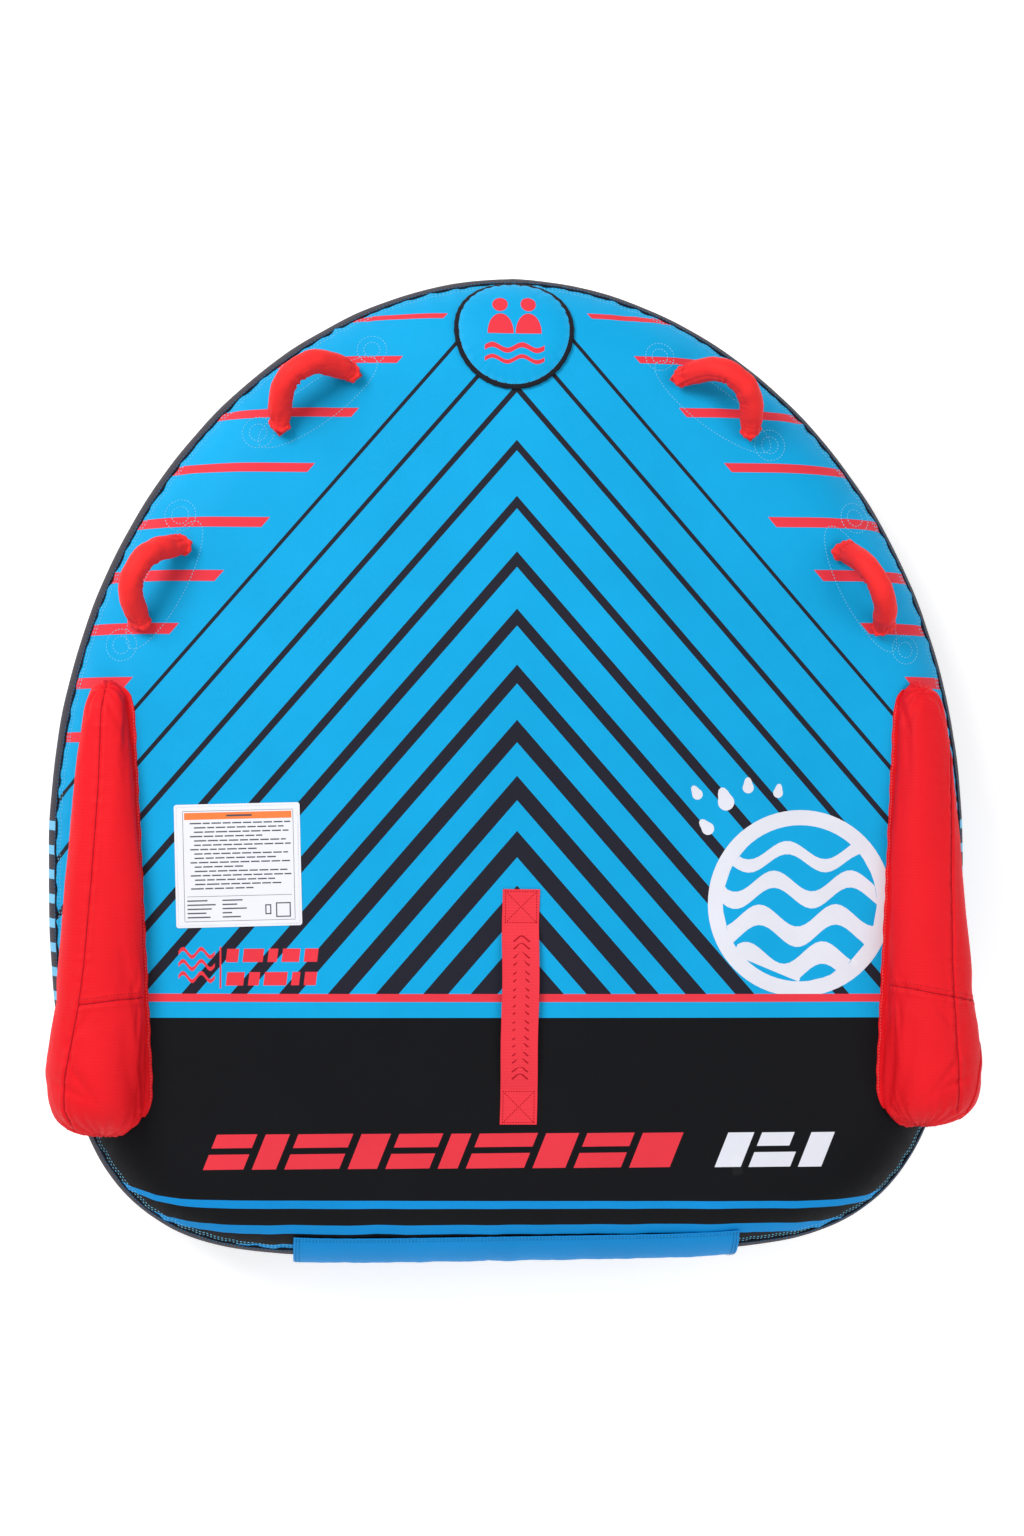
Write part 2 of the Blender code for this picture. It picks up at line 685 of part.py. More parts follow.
def circle(radius, sides):
    return [(radius * math.cos(2 * math.pi * i / sides), radius * math.sin(2 * math.pi * i / sides))
            for i in range(sides)]


def sleeve_radius(share):
    return SLEEVE_END_RADIUS + (SLEEVE_RADIUS - SLEEVE_END_RADIUS) * math.sqrt(max(1 - share**2.5, 0.0))


def build_handle(row, side_name):
    name = f"{row}_{side_name}_handle"
    side = 1.0 if side_name == "right" else -1.0
    frame = handle_frame(row, side_name)
    stations, sides = 11, 10

    def tube(cut_back):
        return handle_sections(frame, SLEEVE_FOOT, stations,
                               lambda share: circle(sleeve_radius(share) - cut_back, sides))

    bore = handle_sections(frame, SLEEVE_FOOT, stations, lambda s: circle(FOAM_BORE, sides))
    sleeve = ringed(f"{name}_sleeve", tube(0.0) + tube(SLEEVE_WALL)[::-1], NYLON_RED, wrap=True)
    foam = ringed(f"{name}_foam", tube(SLEEVE_WALL + GAP) + bore[::-1], FOAM, wrap=True)

    wide, thin = WEBBING_HALF
    strip = ((-wide, -thin), (wide, -thin), (wide, thin), (-wide, thin))
    feet = handle_sections(frame, WEBBING_FOOT, 2, lambda s: strip)
    rings = handle_sections(frame, SLEEVE_FOOT, stations, lambda s: strip)
    rings = [feet[0]] + rings + [feet[-1]]
    webbing = ringed(f"{name}_webbing", rings, WEBBING_RED, caps=True)
    hang_on_axis([sleeve, foam, webbing], f"{name}_axis", tuple(frame[0]))

    along = frame[1]
    middle = frame[0]
    for place, end in (("front", -1.0), ("back", 1.0)):
        spot = middle + along * (frame[3] * end)
        across = Vector((-along.y, along.x))
        grids = []
        for offset in (GAP + SKIN, GAP):
            grid = []
            for u in (-0.012, 0.0, 0.012):
                flat = [Vector((spot.x, spot.y)) + along.xy * u + across * v for v in (-0.009, 0.009)]
                grid.append([deck_point(p.x, p.y, offset) for p in flat])
            grids.append(grid)
        slab(f"{name}_tab_{place}", grids[0], grids[1], WEBBING_RED)

    rings = []
    for share in (0.0, 0.5, 1.0):
        ring = []
        for i in range(20 if share else 1):
            turn = 2 * math.pi * i / 20
            u = math.cos(turn) * ANCHOR_HALF[0] * share
            v = math.sin(turn) * ANCHOR_HALF[1] * share
            flat = middle.xy + along.xy * u + Vector((-along.y, along.x)) * v
            ring.append((flat.x, flat.y))
        rings.append(ring)
    upper = [[deck_point(x, y, -ANCHOR_DEPTH) for x, y in ring] for ring in rings]
    lower = [[deck_point(x, y, -ANCHOR_DEPTH - 0.0008) for x, y in ring] for ring in rings]
    ringed(f"{name}_anchor", upper + lower[::-1], WEBBING_RED)


# ---------------------------------------------------------------- zip


def zip_flap_offset(angle):
    """How far the flap stands off the cover: sewn down at its top and clear of the slider below."""
    share = min((ZIP_FLAP_TOP - angle) / ZIP_FLAP_RUN, 1.0)
    return ZIP_FLAP_BASE + (ZIP_FLAP_STAND - ZIP_FLAP_BASE) * share * (2 - share)


def build_zip():
    z = EDGE_RADIUS
    reach = ZIP_HALF_LENGTH
    tape_back = TAIL_Y - GAP
    tape_face = tape_back - ZIP_TAPE
    box("zipper_tape", (-reach, tape_face, z - ZIP_TAPE_HALF), (reach, tape_back, z + ZIP_TAPE_HALF),
        NYLON_DARK)
    teeth_back = tape_face - TOUCH
    teeth_face = teeth_back - ZIP_TEETH[0]
    box("zipper_coil", (-reach, teeth_face, z - ZIP_TEETH[1]), (reach, teeth_back, z + ZIP_TEETH[1]),
        PLASTIC_BLACK)

    half_x, half_z = SLIDER_HALF
    channel_half, channel_depth = SLIDER_CHANNEL
    back = teeth_back - TOUCH / 3
    front, channel = back - SLIDER_DEPTH, back - channel_depth
    profile = [(-half_z, back), (-channel_half, back), (-channel_half, channel), (channel_half, channel),
               (channel_half, back), (half_z, back), (half_z, front), (-half_z, front)]
    rings = [[Vector((x, y, z + dz)) for dz, y in profile]
             for x in (ZIP_START_X - half_x, ZIP_START_X + half_x)]
    slider = ringed("zipper_slider", rings, ALUMINIUM, caps=True)
    pull_back = front - TOUCH
    top = z + ZIP_TEETH[1]
    pull = box("zipper_pull", (ZIP_START_X - PULL_HALF, pull_back - PULL_THICKNESS, top - PULL_LENGTH),
               (ZIP_START_X + PULL_HALF, pull_back, top), WEBBING_RED)
    hang_on_axis([slider, pull], "zipper_slider_axis", (ZIP_START_X, TAIL_Y, z))

    upper, lower = [], []
    angles = steps(ZIP_FLAP_TOP, ZIP_FLAP_BOTTOM, 7)
    for x in steps(*ZIP_FLAP_X, 9):
        station = edge_station(x, tail=True)
        upper.append([edge_surface(station, a, zip_flap_offset(a) + SKIN) for a in angles])
        lower.append([edge_surface(station, a, zip_flap_offset(a)) for a in angles])
    flap = slab("zipper_flap", upper, lower, NYLON_BLUE)
    end_row = edge_surface(edge_station(ZIP_FLAP_X[1], tail=True), ZIP_FLAP_TOP, 0.0)
    hang_on_axis([flap], "zipper_flap_axis", (0.0, end_row.y, end_row.z))


# ---------------------------------------------------------------- tow point


def nose_patch(name, half_width, angles, bottom, thickness, material):
    upper, lower = [], []
    for x in steps(-half_width, half_width, 5):
        station = edge_station(x, tail=False)
        upper.append([edge_surface(station, a, bottom + thickness) for a in angles])
        lower.append([edge_surface(station, a, bottom) for a in angles])
    return slab(name, upper, lower, material)


def build_tow_point():
    for name, sizes in (("tow_patch", TOW_PATCH), ("tow_webbing", TOW_WEBBING)):
        half, top, bottom, offset, thickness = sizes
        nose_patch(name, half, steps(top, bottom, 9), offset, thickness, NYLON_DARK)
    angle = math.radians(TOW_ANGLE)
    out = Vector((0.0, math.cos(angle), math.sin(angle)))
    up = Vector((0.0, -math.sin(angle), math.cos(angle)))
    centre = edge_surface(0.0, TOW_ANGLE, TOW_STACK)
    place = Matrix.Translation(centre) @ Matrix((Vector((1, 0, 0)), up, out)).transposed().to_4x4()
    wide, tall, thick = TOW_PLATE
    hook = box("tow_hook", (-wide / 2, -tall / 2, 0.0), (wide / 2, tall / 2, thick), ALUMINIUM, place)
    neck_top = thick + TOW_NECK_HEIGHT
    button = turned(
        "tow_button_cutter",
        [(0.0, thick / 2), (TOW_NECK_RADIUS, thick / 2), (TOW_NECK_RADIUS, neck_top),
         (TOW_HEAD_RADIUS, neck_top), (TOW_HEAD_RADIUS, neck_top + TOW_HEAD_HEIGHT),
         (0.0, neck_top + TOW_HEAD_HEIGHT)],
        20,
        (0.0, 0.0, 0.0),
        ALUMINIUM,
        place,
        wrap=False,
    )
    cut(hook, button, "UNION")
    base = thick + TOUCH
    shoulder = [(radius, base + height) for radius, height in TOW_RIVET]
    profile = [(0.0, base)] + shoulder + [(0.0, base + TOW_RIVET_TOP)]
    for index, x in enumerate((-TOW_RIVET_X, TOW_RIVET_X)):
        turned(f"tow_rivet_{index + 1}", profile, 12, (x, 0.0, 0.0), ALUMINIUM, place, wrap=False)


def main():
    clear_scene()
    build_cover()
    build_bladder()
    build_valve()
    build_deck_pieces()
    for side_name, side in (("left", -1.0), ("right", 1.0)):
        build_bolster(side_name, side)
        for row in HANDLE_ENDS:
            build_handle(row, side_name)
    build_zip()
    build_tow_point()


main()
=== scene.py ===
"""Two-rider towable deck tube: the finished look over its CAD frame.

Metres, +Z up, +Y towards the nose, in the CAD's own frame.
"""

import math

import bmesh
import bpy
import numpy as np
from mathutils import Matrix, Vector
from mathutils.bvhtree import BVHTree
from mathutils.geometry import delaunay_2d_cdt
from mathutils.kdtree import KDTree


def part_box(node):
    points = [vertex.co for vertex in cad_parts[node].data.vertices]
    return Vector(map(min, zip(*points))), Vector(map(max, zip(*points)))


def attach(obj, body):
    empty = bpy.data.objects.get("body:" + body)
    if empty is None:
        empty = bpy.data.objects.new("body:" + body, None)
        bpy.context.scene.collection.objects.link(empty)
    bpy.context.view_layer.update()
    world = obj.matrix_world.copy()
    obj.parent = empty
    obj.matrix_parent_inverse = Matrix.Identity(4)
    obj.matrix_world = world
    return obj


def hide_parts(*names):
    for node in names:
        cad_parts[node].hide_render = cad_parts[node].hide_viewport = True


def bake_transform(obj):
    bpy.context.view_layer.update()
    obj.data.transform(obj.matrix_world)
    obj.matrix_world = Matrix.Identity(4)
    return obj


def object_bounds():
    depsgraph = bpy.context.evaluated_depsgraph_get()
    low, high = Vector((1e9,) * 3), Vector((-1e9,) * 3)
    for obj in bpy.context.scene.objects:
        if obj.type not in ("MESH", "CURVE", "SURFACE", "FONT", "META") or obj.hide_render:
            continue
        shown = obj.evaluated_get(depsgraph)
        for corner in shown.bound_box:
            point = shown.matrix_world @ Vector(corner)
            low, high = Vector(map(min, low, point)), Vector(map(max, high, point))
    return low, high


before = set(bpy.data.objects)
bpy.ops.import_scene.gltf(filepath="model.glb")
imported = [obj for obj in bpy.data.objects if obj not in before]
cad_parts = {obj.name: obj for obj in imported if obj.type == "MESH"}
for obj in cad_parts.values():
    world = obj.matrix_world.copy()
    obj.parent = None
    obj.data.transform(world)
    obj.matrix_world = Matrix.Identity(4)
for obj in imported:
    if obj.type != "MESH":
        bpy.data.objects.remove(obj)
CAD_LOW, CAD_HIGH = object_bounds()

# ---------------------------------------------------------------- driving sizes, as the CAD has them

PANEL_LOW, PANEL_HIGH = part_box("side_panel")
HALF_WIDTH = round(PANEL_HIGH.x, 4)
EDGE_RADIUS = (PANEL_LOW.z + PANEL_HIGH.z) / 2
NOSE_Y = PANEL_HIGH.y
TAIL_Y = PANEL_LOW.y
WIDEST_Y = -0.1416
NOSE_POWERS = (1.9, 2.1)
TAIL_POWERS = (5.5, 2.6)
EDGE_SAMPLES = 4801
CROWN = 0.006
CROWN_RUN = 0.40
DECK_Z = 2 * EDGE_RADIUS
SEAM_ANGLE = 33.5
SEAM_INSET = EDGE_RADIUS * (1 - math.cos(math.radians(SEAM_ANGLE)))
FLAP_LOW, FLAP_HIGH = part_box("valve_flap_binding")
FLAP_X = (FLAP_LOW.x + FLAP_HIGH.x) / 2
FLAP_Y = 0.6615
FLAP_RADIUS = 0.0815
FLAP_RIM = 0.0905
FLAP_BASE = 0.0018
FLAP_DOME = 0.0110
HANDLE_SPOTS = ((0.299, 0.549), (0.527, 0.273))


# ---------------------------------------------------------------- the tube's surface

def outline(turn):
    """Plan points and outward normals of two half superellipses that share the widest line.

    The turn is stretched in each quadrant so that points stay close together along a flat end.
    """
    side = np.where(np.sin(turn) >= 0, 1.0, -1.0)
    nose = np.cos(turn) >= 0
    across_power, along_power = (np.where(nose, *pair) for pair in zip(NOSE_POWERS, TAIL_POWERS))
    length = np.where(nose, NOSE_Y - WIDEST_Y, TAIL_Y - WIDEST_Y)
    quarter = math.pi / 2
    spread = quarter * (np.arccos(np.minimum(np.abs(np.cos(turn)), 1.0)) / quarter) ** (across_power / 2)
    across = np.sin(spread) ** (2 / across_power)
    along = np.abs(np.cos(spread)) ** (2 / along_power)
    normal = np.stack([side * across_power * across ** (across_power - 1) / HALF_WIDTH,
                       along_power * along ** (along_power - 1) / length], 1)
    normal /= np.linalg.norm(normal, axis=1)[:, None]
    return np.stack([side * HALF_WIDTH * across, WIDEST_Y + length * along], 1), normal


def run_along(path):
    """How far along a polyline each of its points is."""
    return np.concatenate([[0.0], np.cumsum(np.linalg.norm(np.diff(path, axis=0), axis=1))])


def point_tree(points):
    """Search tree over plan points or points in space."""
    tree = KDTree(len(points))
    for index, point in enumerate(points):
        tree.insert((*point, 0.0)[:3], index)
    tree.balance()
    return tree


EDGE_XY, EDGE_N = outline(np.linspace(0, 2 * math.pi, EDGE_SAMPLES))
EDGE_S = run_along(EDGE_XY)
PERIMETER = EDGE_S[-1]
EDGE_TREE = point_tree(EDGE_XY[:-1])


def edge_at(along):
    """Outline points and outward normals at arc lengths from the nose, clockwise from above."""
    s = np.asarray(along, float) % PERIMETER
    point = np.stack([np.interp(s, EDGE_S, EDGE_XY[:, k]) for k in (0, 1)], -1)
    normal = np.stack([np.interp(s, EDGE_S, EDGE_N[:, k]) for k in (0, 1)], -1)
    return point, normal / np.linalg.norm(normal, axis=-1)[..., None]


def near(xy):
    """Inset from the outline, outward direction and arc length, for plan points inside it."""
    xy = np.asarray(xy, float).reshape(-1, 2)
    found = np.array([EDGE_TREE.find((x, y, 0.0))[1] for x, y in xy])
    normal, base = EDGE_N[found], EDGE_XY[found]
    tangent = np.stack([normal[:, 1], -normal[:, 0]], 1)
    step = 0.002
    shift = np.clip(((xy - base) * tangent).sum(1), -step, step)
    gap = base + tangent * shift[:, None] - xy
    inset = np.linalg.norm(gap, axis=1)
    sign = np.where((gap * normal).sum(1) >= 0, 1.0, -1.0)
    far = inset > step / 2
    out = np.where(far[:, None], gap / np.maximum(inset, 1e-9)[:, None] * sign[:, None], normal)
    return inset * sign, out, EDGE_S[found] + shift


def waves(value, period, seed):
    """Uneven ripple between about -1 and 1 along one coordinate."""
    a = 2 * math.pi * value / period
    return (np.sin(a + 1.7 * np.sin(a * 0.137 + seed) + seed) * (0.62 + 0.38 * np.sin(a * 0.211 + 2.3 * seed))
            + 0.28 * np.sin(a * 1.83 + 3.1 * seed)) / 1.25


def relief(xy, inset, along):
    """Height of the cloth's own unevenness: puckers along the seam and slow swells over the deck."""
    x, y = xy[:, 0], xy[:, 1]
    depth = np.maximum(inset - SEAM_INSET, 0.0)
    pucker = 0.0019 * np.exp(-depth / 0.015) * waves(along, 0.037, 0.4)
    tension = 0.0012 * np.exp(-((depth - 0.040) / 0.040) ** 2) * waves(along, 0.125, 1.9)
    swell = 0.0005 * (np.sin(9.1 * x + 5.3 * y + 0.4) * np.sin(4.1 * x - 8.7 * y + 1.1))
    handles = np.zeros(len(xy))
    for hx, hy in HANDLE_SPOTS:
        away = np.hypot(np.abs(x) - hx, y - hy)
        handles += 0.0008 * np.exp(-(away / 0.075) ** 2) * np.cos(away / 0.0095)
    return pucker + tension + swell + handles


def seam_angle(along, side=1):
    """The sewn seam wanders a little about its nominal angle."""
    return side * (SEAM_ANGLE + 0.55 * waves(along, 0.052, 3.3 + side) + 0.35 * waves(along, 0.21, 0.8))


def skin(xy, offset=0.0, uneven=1.0):
    """Points and unit normals on the deck over plan points, at an offset out of the cloth."""
    xy = np.asarray(xy, float).reshape(-1, 2)
    inset, out, along = near(xy)
    side = np.clip(EDGE_RADIUS - inset, 0.0, EDGE_RADIUS)
    rise = np.clip((inset - EDGE_RADIUS) / CROWN_RUN, 0.0, 1.0)
    height = np.where(inset < EDGE_RADIUS,
                      EDGE_RADIUS + np.sqrt(np.maximum(EDGE_RADIUS ** 2 - side ** 2, 0.0)),
                      DECK_Z + CROWN * rise * rise * (3 - 2 * rise))
    lean = side / EDGE_RADIUS
    normal = np.column_stack([out * lean[:, None], np.sqrt(np.maximum(1 - lean ** 2, 0.0))])
    point = np.column_stack([xy, height])
    lift = offset + uneven * relief(xy, inset, along)
    return point + normal * np.reshape(lift, (-1, 1)), normal


def side_point(along, angle, offset=0.0):
    """Points and normals on the rounded side at angles above its widest line."""
    flat, out = edge_at(along)
    turn = np.radians(angle)
    reach = (EDGE_RADIUS + offset) * np.cos(turn) - EDGE_RADIUS
    point = np.concatenate([flat + out * reach[..., None],
                            (EDGE_RADIUS + (EDGE_RADIUS + offset) * np.sin(turn))[..., None]], -1)
    normal = np.concatenate([out * np.cos(turn)[..., None], np.sin(turn)[..., None]], -1)
    return point, normal


# ---------------------------------------------------------------- materials

def linear(red, green, blue):
    """Linear colour from 0-255 display values."""
    out = []
    for value in (red, green, blue):
        v = value / 255
        out.append(v / 12.92 if v <= 0.04045 else ((v + 0.055) / 1.055) ** 2.4)
    return (*out, 1.0)


class Surface:
    """A node-based material being put together."""

    def __init__(self, name, roughness=0.6, metallic=0.0, sheen=0.0, specular=0.5, coat=0.0):
        self.material = bpy.data.materials.new(name)
        self.material.use_nodes = True
        self.tree = self.material.node_tree
        self.shader = self.tree.nodes["Principled BSDF"]
        for socket, value in (("Roughness", roughness), ("Metallic", metallic), ("Sheen Weight", sheen),
                              ("Sheen Roughness", 0.45), ("Specular IOR Level", specular), ("Coat Weight", coat)):
            self.shader.inputs[socket].default_value = value
        self.place = self.node("ShaderNodeTexCoord").outputs["Object"]

    def node(self, kind, **settings):
        made = self.tree.nodes.new(kind)
        for key, value in settings.items():
            if key in made.inputs:
                made.inputs[key].default_value = value
            else:
                setattr(made, key, value)
        return made

    def feed(self, target, source):
        """Set a socket to a number or colour, or link it to another node's output."""
        if isinstance(source, (float, tuple)):
            target.default_value = source
        else:
            self.tree.links.new(source, target)

    def noise(self, scale, detail=3.0, stretch=None):
        made = self.node("ShaderNodeTexNoise", Scale=scale, Detail=detail, Roughness=0.55)
        place = self.place
        if stretch:
            mapping = self.node("ShaderNodeMapping")
            mapping.inputs["Scale"].default_value = stretch
            self.feed(mapping.inputs["Vector"], place)
            place = mapping.outputs["Vector"]
        self.feed(made.inputs["Vector"], place)
        return made.outputs["Fac"]

    def ribs(self, pitch, direction):
        made = self.node("ShaderNodeTexWave", Scale=math.pi / 10 / pitch, Distortion=0.7, Detail=1.0)
        made.bands_direction = direction
        made.inputs["Detail Scale"].default_value = 0.6
        self.feed(made.inputs["Vector"], self.place)
        return made.outputs["Fac"]

    def times(self, a, b):
        made = self.node("ShaderNodeMath", operation="MULTIPLY")
        self.feed(made.inputs[0], a)
        self.feed(made.inputs[1], b)
        return made.outputs[0]

    def ramp(self, value, low, high, start=0.3, end=0.7):
        made = self.node("ShaderNodeMapRange")
        for socket, number in zip(made.inputs[1:5], (start, end, low, high)):
            socket.default_value = number
        self.feed(made.inputs[0], value)
        return made.outputs[0]

    def mix(self, share, a, b):
        made = self.node("ShaderNodeMix", data_type="RGBA")
        for socket, value in ((made.inputs[0], share), (made.inputs[6], a), (made.inputs[7], b)):
            self.feed(socket, value)
        return made.outputs[2]

    def bump(self, height, distance, strength, under=None):
        made = self.node("ShaderNodeBump", Distance=distance, Strength=strength)
        self.feed(made.inputs["Height"], height)
        if under is not None:
            self.feed(made.inputs["Normal"], under)
        return made.outputs["Normal"]

    def done(self, colour, roughness=None, normal=None):
        for socket, value in (("Base Color", colour), ("Roughness", roughness), ("Normal", normal)):
            if value is not None:
                self.feed(self.shader.inputs[socket], value)
        return self.material


def scaled(colour, factor, lift=0.0):
    """A colour made darker or lighter."""
    return (*(min(c * factor + lift, 1.0) for c in colour[:3]), 1.0)


def fabric(name, colour, pitch=0.0016, mottle=0.05, directions=("X", "Y"), weave=0.10, rib=None):
    """Woven cloth: crossed threads, shading patches, fibre speckle, faint wrinkles and rubbed spots."""
    roughness = 0.62
    s = Surface(name, roughness=roughness, specular=0.16)
    threads = [s.ribs(pitch, direction) for direction in directions]
    cross = threads[0]
    for other in threads[1:]:
        cross = s.times(cross, other)
    patches = s.noise(6.0, 4.0)
    fibres = s.noise(420.0, 2.0)
    paint = s.mix(s.ramp(patches, 0.0, 1.0), scaled(colour, 1 - mottle), scaled(colour, 1 + mottle, mottle * 0.02))
    paint = s.mix(s.ramp(cross, 0.0, weave, 0.0, 1.0), paint, scaled(colour, 0.55))
    paint = s.mix(s.ramp(fibres, 0.0, 0.10, 0.55, 0.75), paint, scaled(colour, 1.25, 0.02))
    high = s.node("ShaderNodeNewGeometry").outputs["Pointiness"]
    paint = s.mix(s.ramp(high, 0.0, 0.16, 0.515, 0.56), paint, scaled(colour, 1.15, 0.05))
    normal = s.bump(s.noise(38.0, 3.0), 0.0007, 0.35)
    normal = s.bump(cross, 0.00025, 0.5, normal)
    if rib:
        bars = s.ribs(rib, "Y")
        paint = s.mix(s.ramp(bars, 0.0, 0.10, 0.2, 1.0), paint, scaled(colour, 0.72))
        normal = s.bump(bars, 0.0003, 0.35, normal)
    return s.done(paint, s.ramp(fibres, roughness - 0.06, roughness + 0.07), normal)


def webbing(name, colour, pitch=0.0021, along="Y"):
    """Heavy woven strap: bold ribs one way and finer ones the other."""
    s = Surface(name, roughness=0.72, sheen=0.03, specular=0.16)
    grain = s.times(s.ribs(pitch * 2.2, along), s.ribs(pitch, "X"))
    fibres = s.noise(300.0, 3.0)
    paint = s.mix(s.ramp(grain, 0.0, 0.22, 0.0, 1.0), colour, scaled(colour, 0.62))
    paint = s.mix(s.ramp(fibres, 0.0, 0.14, 0.5, 0.75), paint, scaled(colour, 1.22, 0.03))
    paint = s.mix(s.ramp(s.noise(14.0), 0.0, 0.12), paint, scaled(colour, 0.8))
    return s.done(paint, s.ramp(fibres, 0.64, 0.80), s.bump(grain, 0.0006, 0.55))


def moulded(name, colour):
    """Moulded plastic: fine leather-like texture, faint flow marks and scuffed corners."""
    s = Surface(name, roughness=0.42)
    grain, scuff = s.noise(900.0, 2.0), s.noise(35.0, 5.0)
    high = s.node("ShaderNodeNewGeometry").outputs["Pointiness"]
    paint = s.mix(s.ramp(scuff, 0.0, 0.25, 0.45, 0.8), colour, scaled(colour, 1.5, 0.012))
    paint = s.mix(s.ramp(high, 0.0, 0.45, 0.52, 0.60), paint, scaled(colour, 2.0, 0.03))
    return s.done(paint, s.ramp(scuff, 0.35, 0.54), s.bump(grain, 0.00008, 0.5))


def brushed(name, colour):
    """Brushed aluminium with hairline scratches and dull patches."""
    s = Surface(name, roughness=0.32, metallic=1.0)
    lines = s.noise(220.0, 3.0, stretch=(0.06, 1.0, 1.0))
    dull = s.noise(28.0, 4.0)
    paint = s.mix(s.ramp(lines, 0.0, 0.35), colour, scaled(colour, 0.78))
    paint = s.mix(s.ramp(dull, 0.0, 0.3, 0.5, 0.8), paint, scaled(colour, 0.7))
    return s.done(paint, s.ramp(dull, 0.24, 0.44), s.bump(lines, 0.00006, 0.4))


def film(name, colour):
    """Printed film label: smooth, slightly glossy, with a faint orange-peel surface."""
    s = Surface(name, roughness=0.38, coat=0.08)
    cloud = s.noise(24.0, 3.0)
    paint = s.mix(s.ramp(cloud, 0.0, 0.5), colour, scaled(colour, 0.95))
    return s.done(paint, s.ramp(cloud, 0.33, 0.46), s.bump(s.noise(70.0), 0.0004, 0.25))


def rubber_foam(name, colour):
    """Closed-cell foam."""
    s = Surface(name, roughness=0.9, specular=0.2)
    cells = s.node("ShaderNodeTexVoronoi", Scale=700.0)
    s.feed(cells.inputs["Vector"], s.place)
    size = cells.outputs["Distance"]
    paint = s.mix(s.ramp(size, 0.0, 1.0, 0.0, 0.6), scaled(colour, 0.6), scaled(colour, 1.3))
    return s.done(paint, None, s.bump(size, 0.0004, 0.6))


BLUE = linear(0, 168, 226)
REAR_BLUE = linear(0, 146, 222)
DARK = linear(30, 31, 44)
BLACK = linear(5, 6, 12)
PRINT_RED = linear(236, 56, 70)
WHITE = linear(230, 232, 242)
BOLSTER_RED = linear(240, 22, 34)
HANDLE_RED = linear(250, 46, 46)
STRAP_RED = linear(246, 58, 72)
THREADS = {"blue": (120, 205, 240), "dark_blue": (20, 120, 175), "pale": (130, 214, 244), "red": (186, 14, 34),
           "light_red": (255, 110, 112), "grey": (120, 124, 136)}

M = {
    "deck_blue": fabric("deck_cloth_blue", BLUE),
    "deck_dark": fabric("deck_cloth_dark", DARK),
    "deck_black": fabric("deck_cloth_black", BLACK),
    "deck_red": fabric("deck_cloth_red", PRINT_RED),
    "deck_white": fabric("deck_cloth_white", WHITE, weave=0.05),
    "rear_blue": fabric("deck_cloth_rear_blue", REAR_BLUE),
    "side_dark": fabric("side_cloth_dark", linear(46, 42, 54), directions=("Z", "Y"), mottle=0.08),
    "side_blue": fabric("side_cloth_blue", linear(120, 200, 240), directions=("Z", "Y")),
    "base": fabric("base_cloth", linear(34, 35, 42), pitch=0.0022, mottle=0.10, weave=0.2),
    "binding": webbing("binding_tape", linear(26, 27, 36), pitch=0.0014),
    "bolster": fabric("bolster_cloth", BOLSTER_RED, pitch=0.0015, rib=0.0048, mottle=0.04),
    "handle": fabric("handle_cloth", HANDLE_RED, pitch=0.0013, directions=("X", "Y", "Z")),
    "strap": webbing("strap_webbing", STRAP_RED),
    "tab": webbing("handle_webbing", linear(235, 52, 56), pitch=0.0014),
    "tow": webbing("tow_webbing_weave", linear(28, 29, 36), along="Z"),
    "label": film("label_film", linear(240, 242, 248)),
    "label_orange": film("label_print_orange", linear(255, 130, 60)),
    "label_grey": film("label_print_grey", linear(72, 74, 84)),
    "vinyl": film("bladder_vinyl", linear(190, 194, 202)),
    "plastic": moulded("black_plastic_moulded", linear(26, 26, 28)),
    "metal": brushed("aluminium_brushed", linear(202, 204, 206)),
    "foam": rubber_foam("closed_cell_foam", linear(84, 84, 90)),
}
for thread, shade in THREADS.items():
    M[f"thread_{thread}"] = webbing(f"thread_{thread}", linear(*shade), pitch=0.0007)


# ---------------------------------------------------------------- mesh helpers

def piece(name, points, faces, materials, slots=None, body="tube", slot=None, smooth=40.0, keep=False):
    """Named mesh object; materials are keys of M and slots the material index of each face."""
    mesh = bpy.data.meshes.new(name)
    mesh.from_pydata([tuple(map(float, p)) for p in points], [], [tuple(map(int, f)) for f in faces])
    for key in materials:
        mesh.materials.append(M[key])
    if slots is not None:
        mesh.polygons.foreach_set("material_index", np.asarray(slots, np.int32))
    mesh.shade_smooth()
    mesh.set_sharp_from_angle(angle=math.radians(smooth))
    mesh.update()
    made = bpy.data.objects.new(name, mesh)
    bpy.context.scene.collection.objects.link(made)
    if not keep:
        settle(made, body)
    return made


def settle(made, body):
    """Tie a piece to its body."""
    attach(made, body)


def grid_faces(rows, columns, wrap=False, start=0, flip=False):
    """Quads of a grid of points, closed on itself along its rows when it wraps."""
    faces = []
    for i in range(rows - 1):
        for j in range(columns if wrap else columns - 1):
            k = (j + 1) % columns
            a, b = start + i * columns + j, start + i * columns + k
            c, d = b + columns, a + columns
            faces.append((a, d, c, b) if flip else (a, b, c, d))
    return faces


def slab(upper, lower, rows, columns, flip=False):
    """Points and faces of a closed thin sheet between two grids of points."""
    count = rows * columns
    last = count - columns
    rim = [*range(columns - 1), *range(columns - 1, count - 1, columns), *range(count - 1, last, -1),
           *range(last, 0, -columns)]
    faces = grid_faces(rows, columns, flip=flip) + grid_faces(rows, columns, start=count, flip=not flip)
    faces += rim_faces(rim[::-1] if flip else rim, count)
    return np.vstack([np.reshape(upper, (-1, 3)), np.reshape(lower, (-1, 3))]), faces


def unit(vectors):
    return vectors / np.maximum(np.linalg.norm(vectors, axis=-1), 1e-12)[..., None]


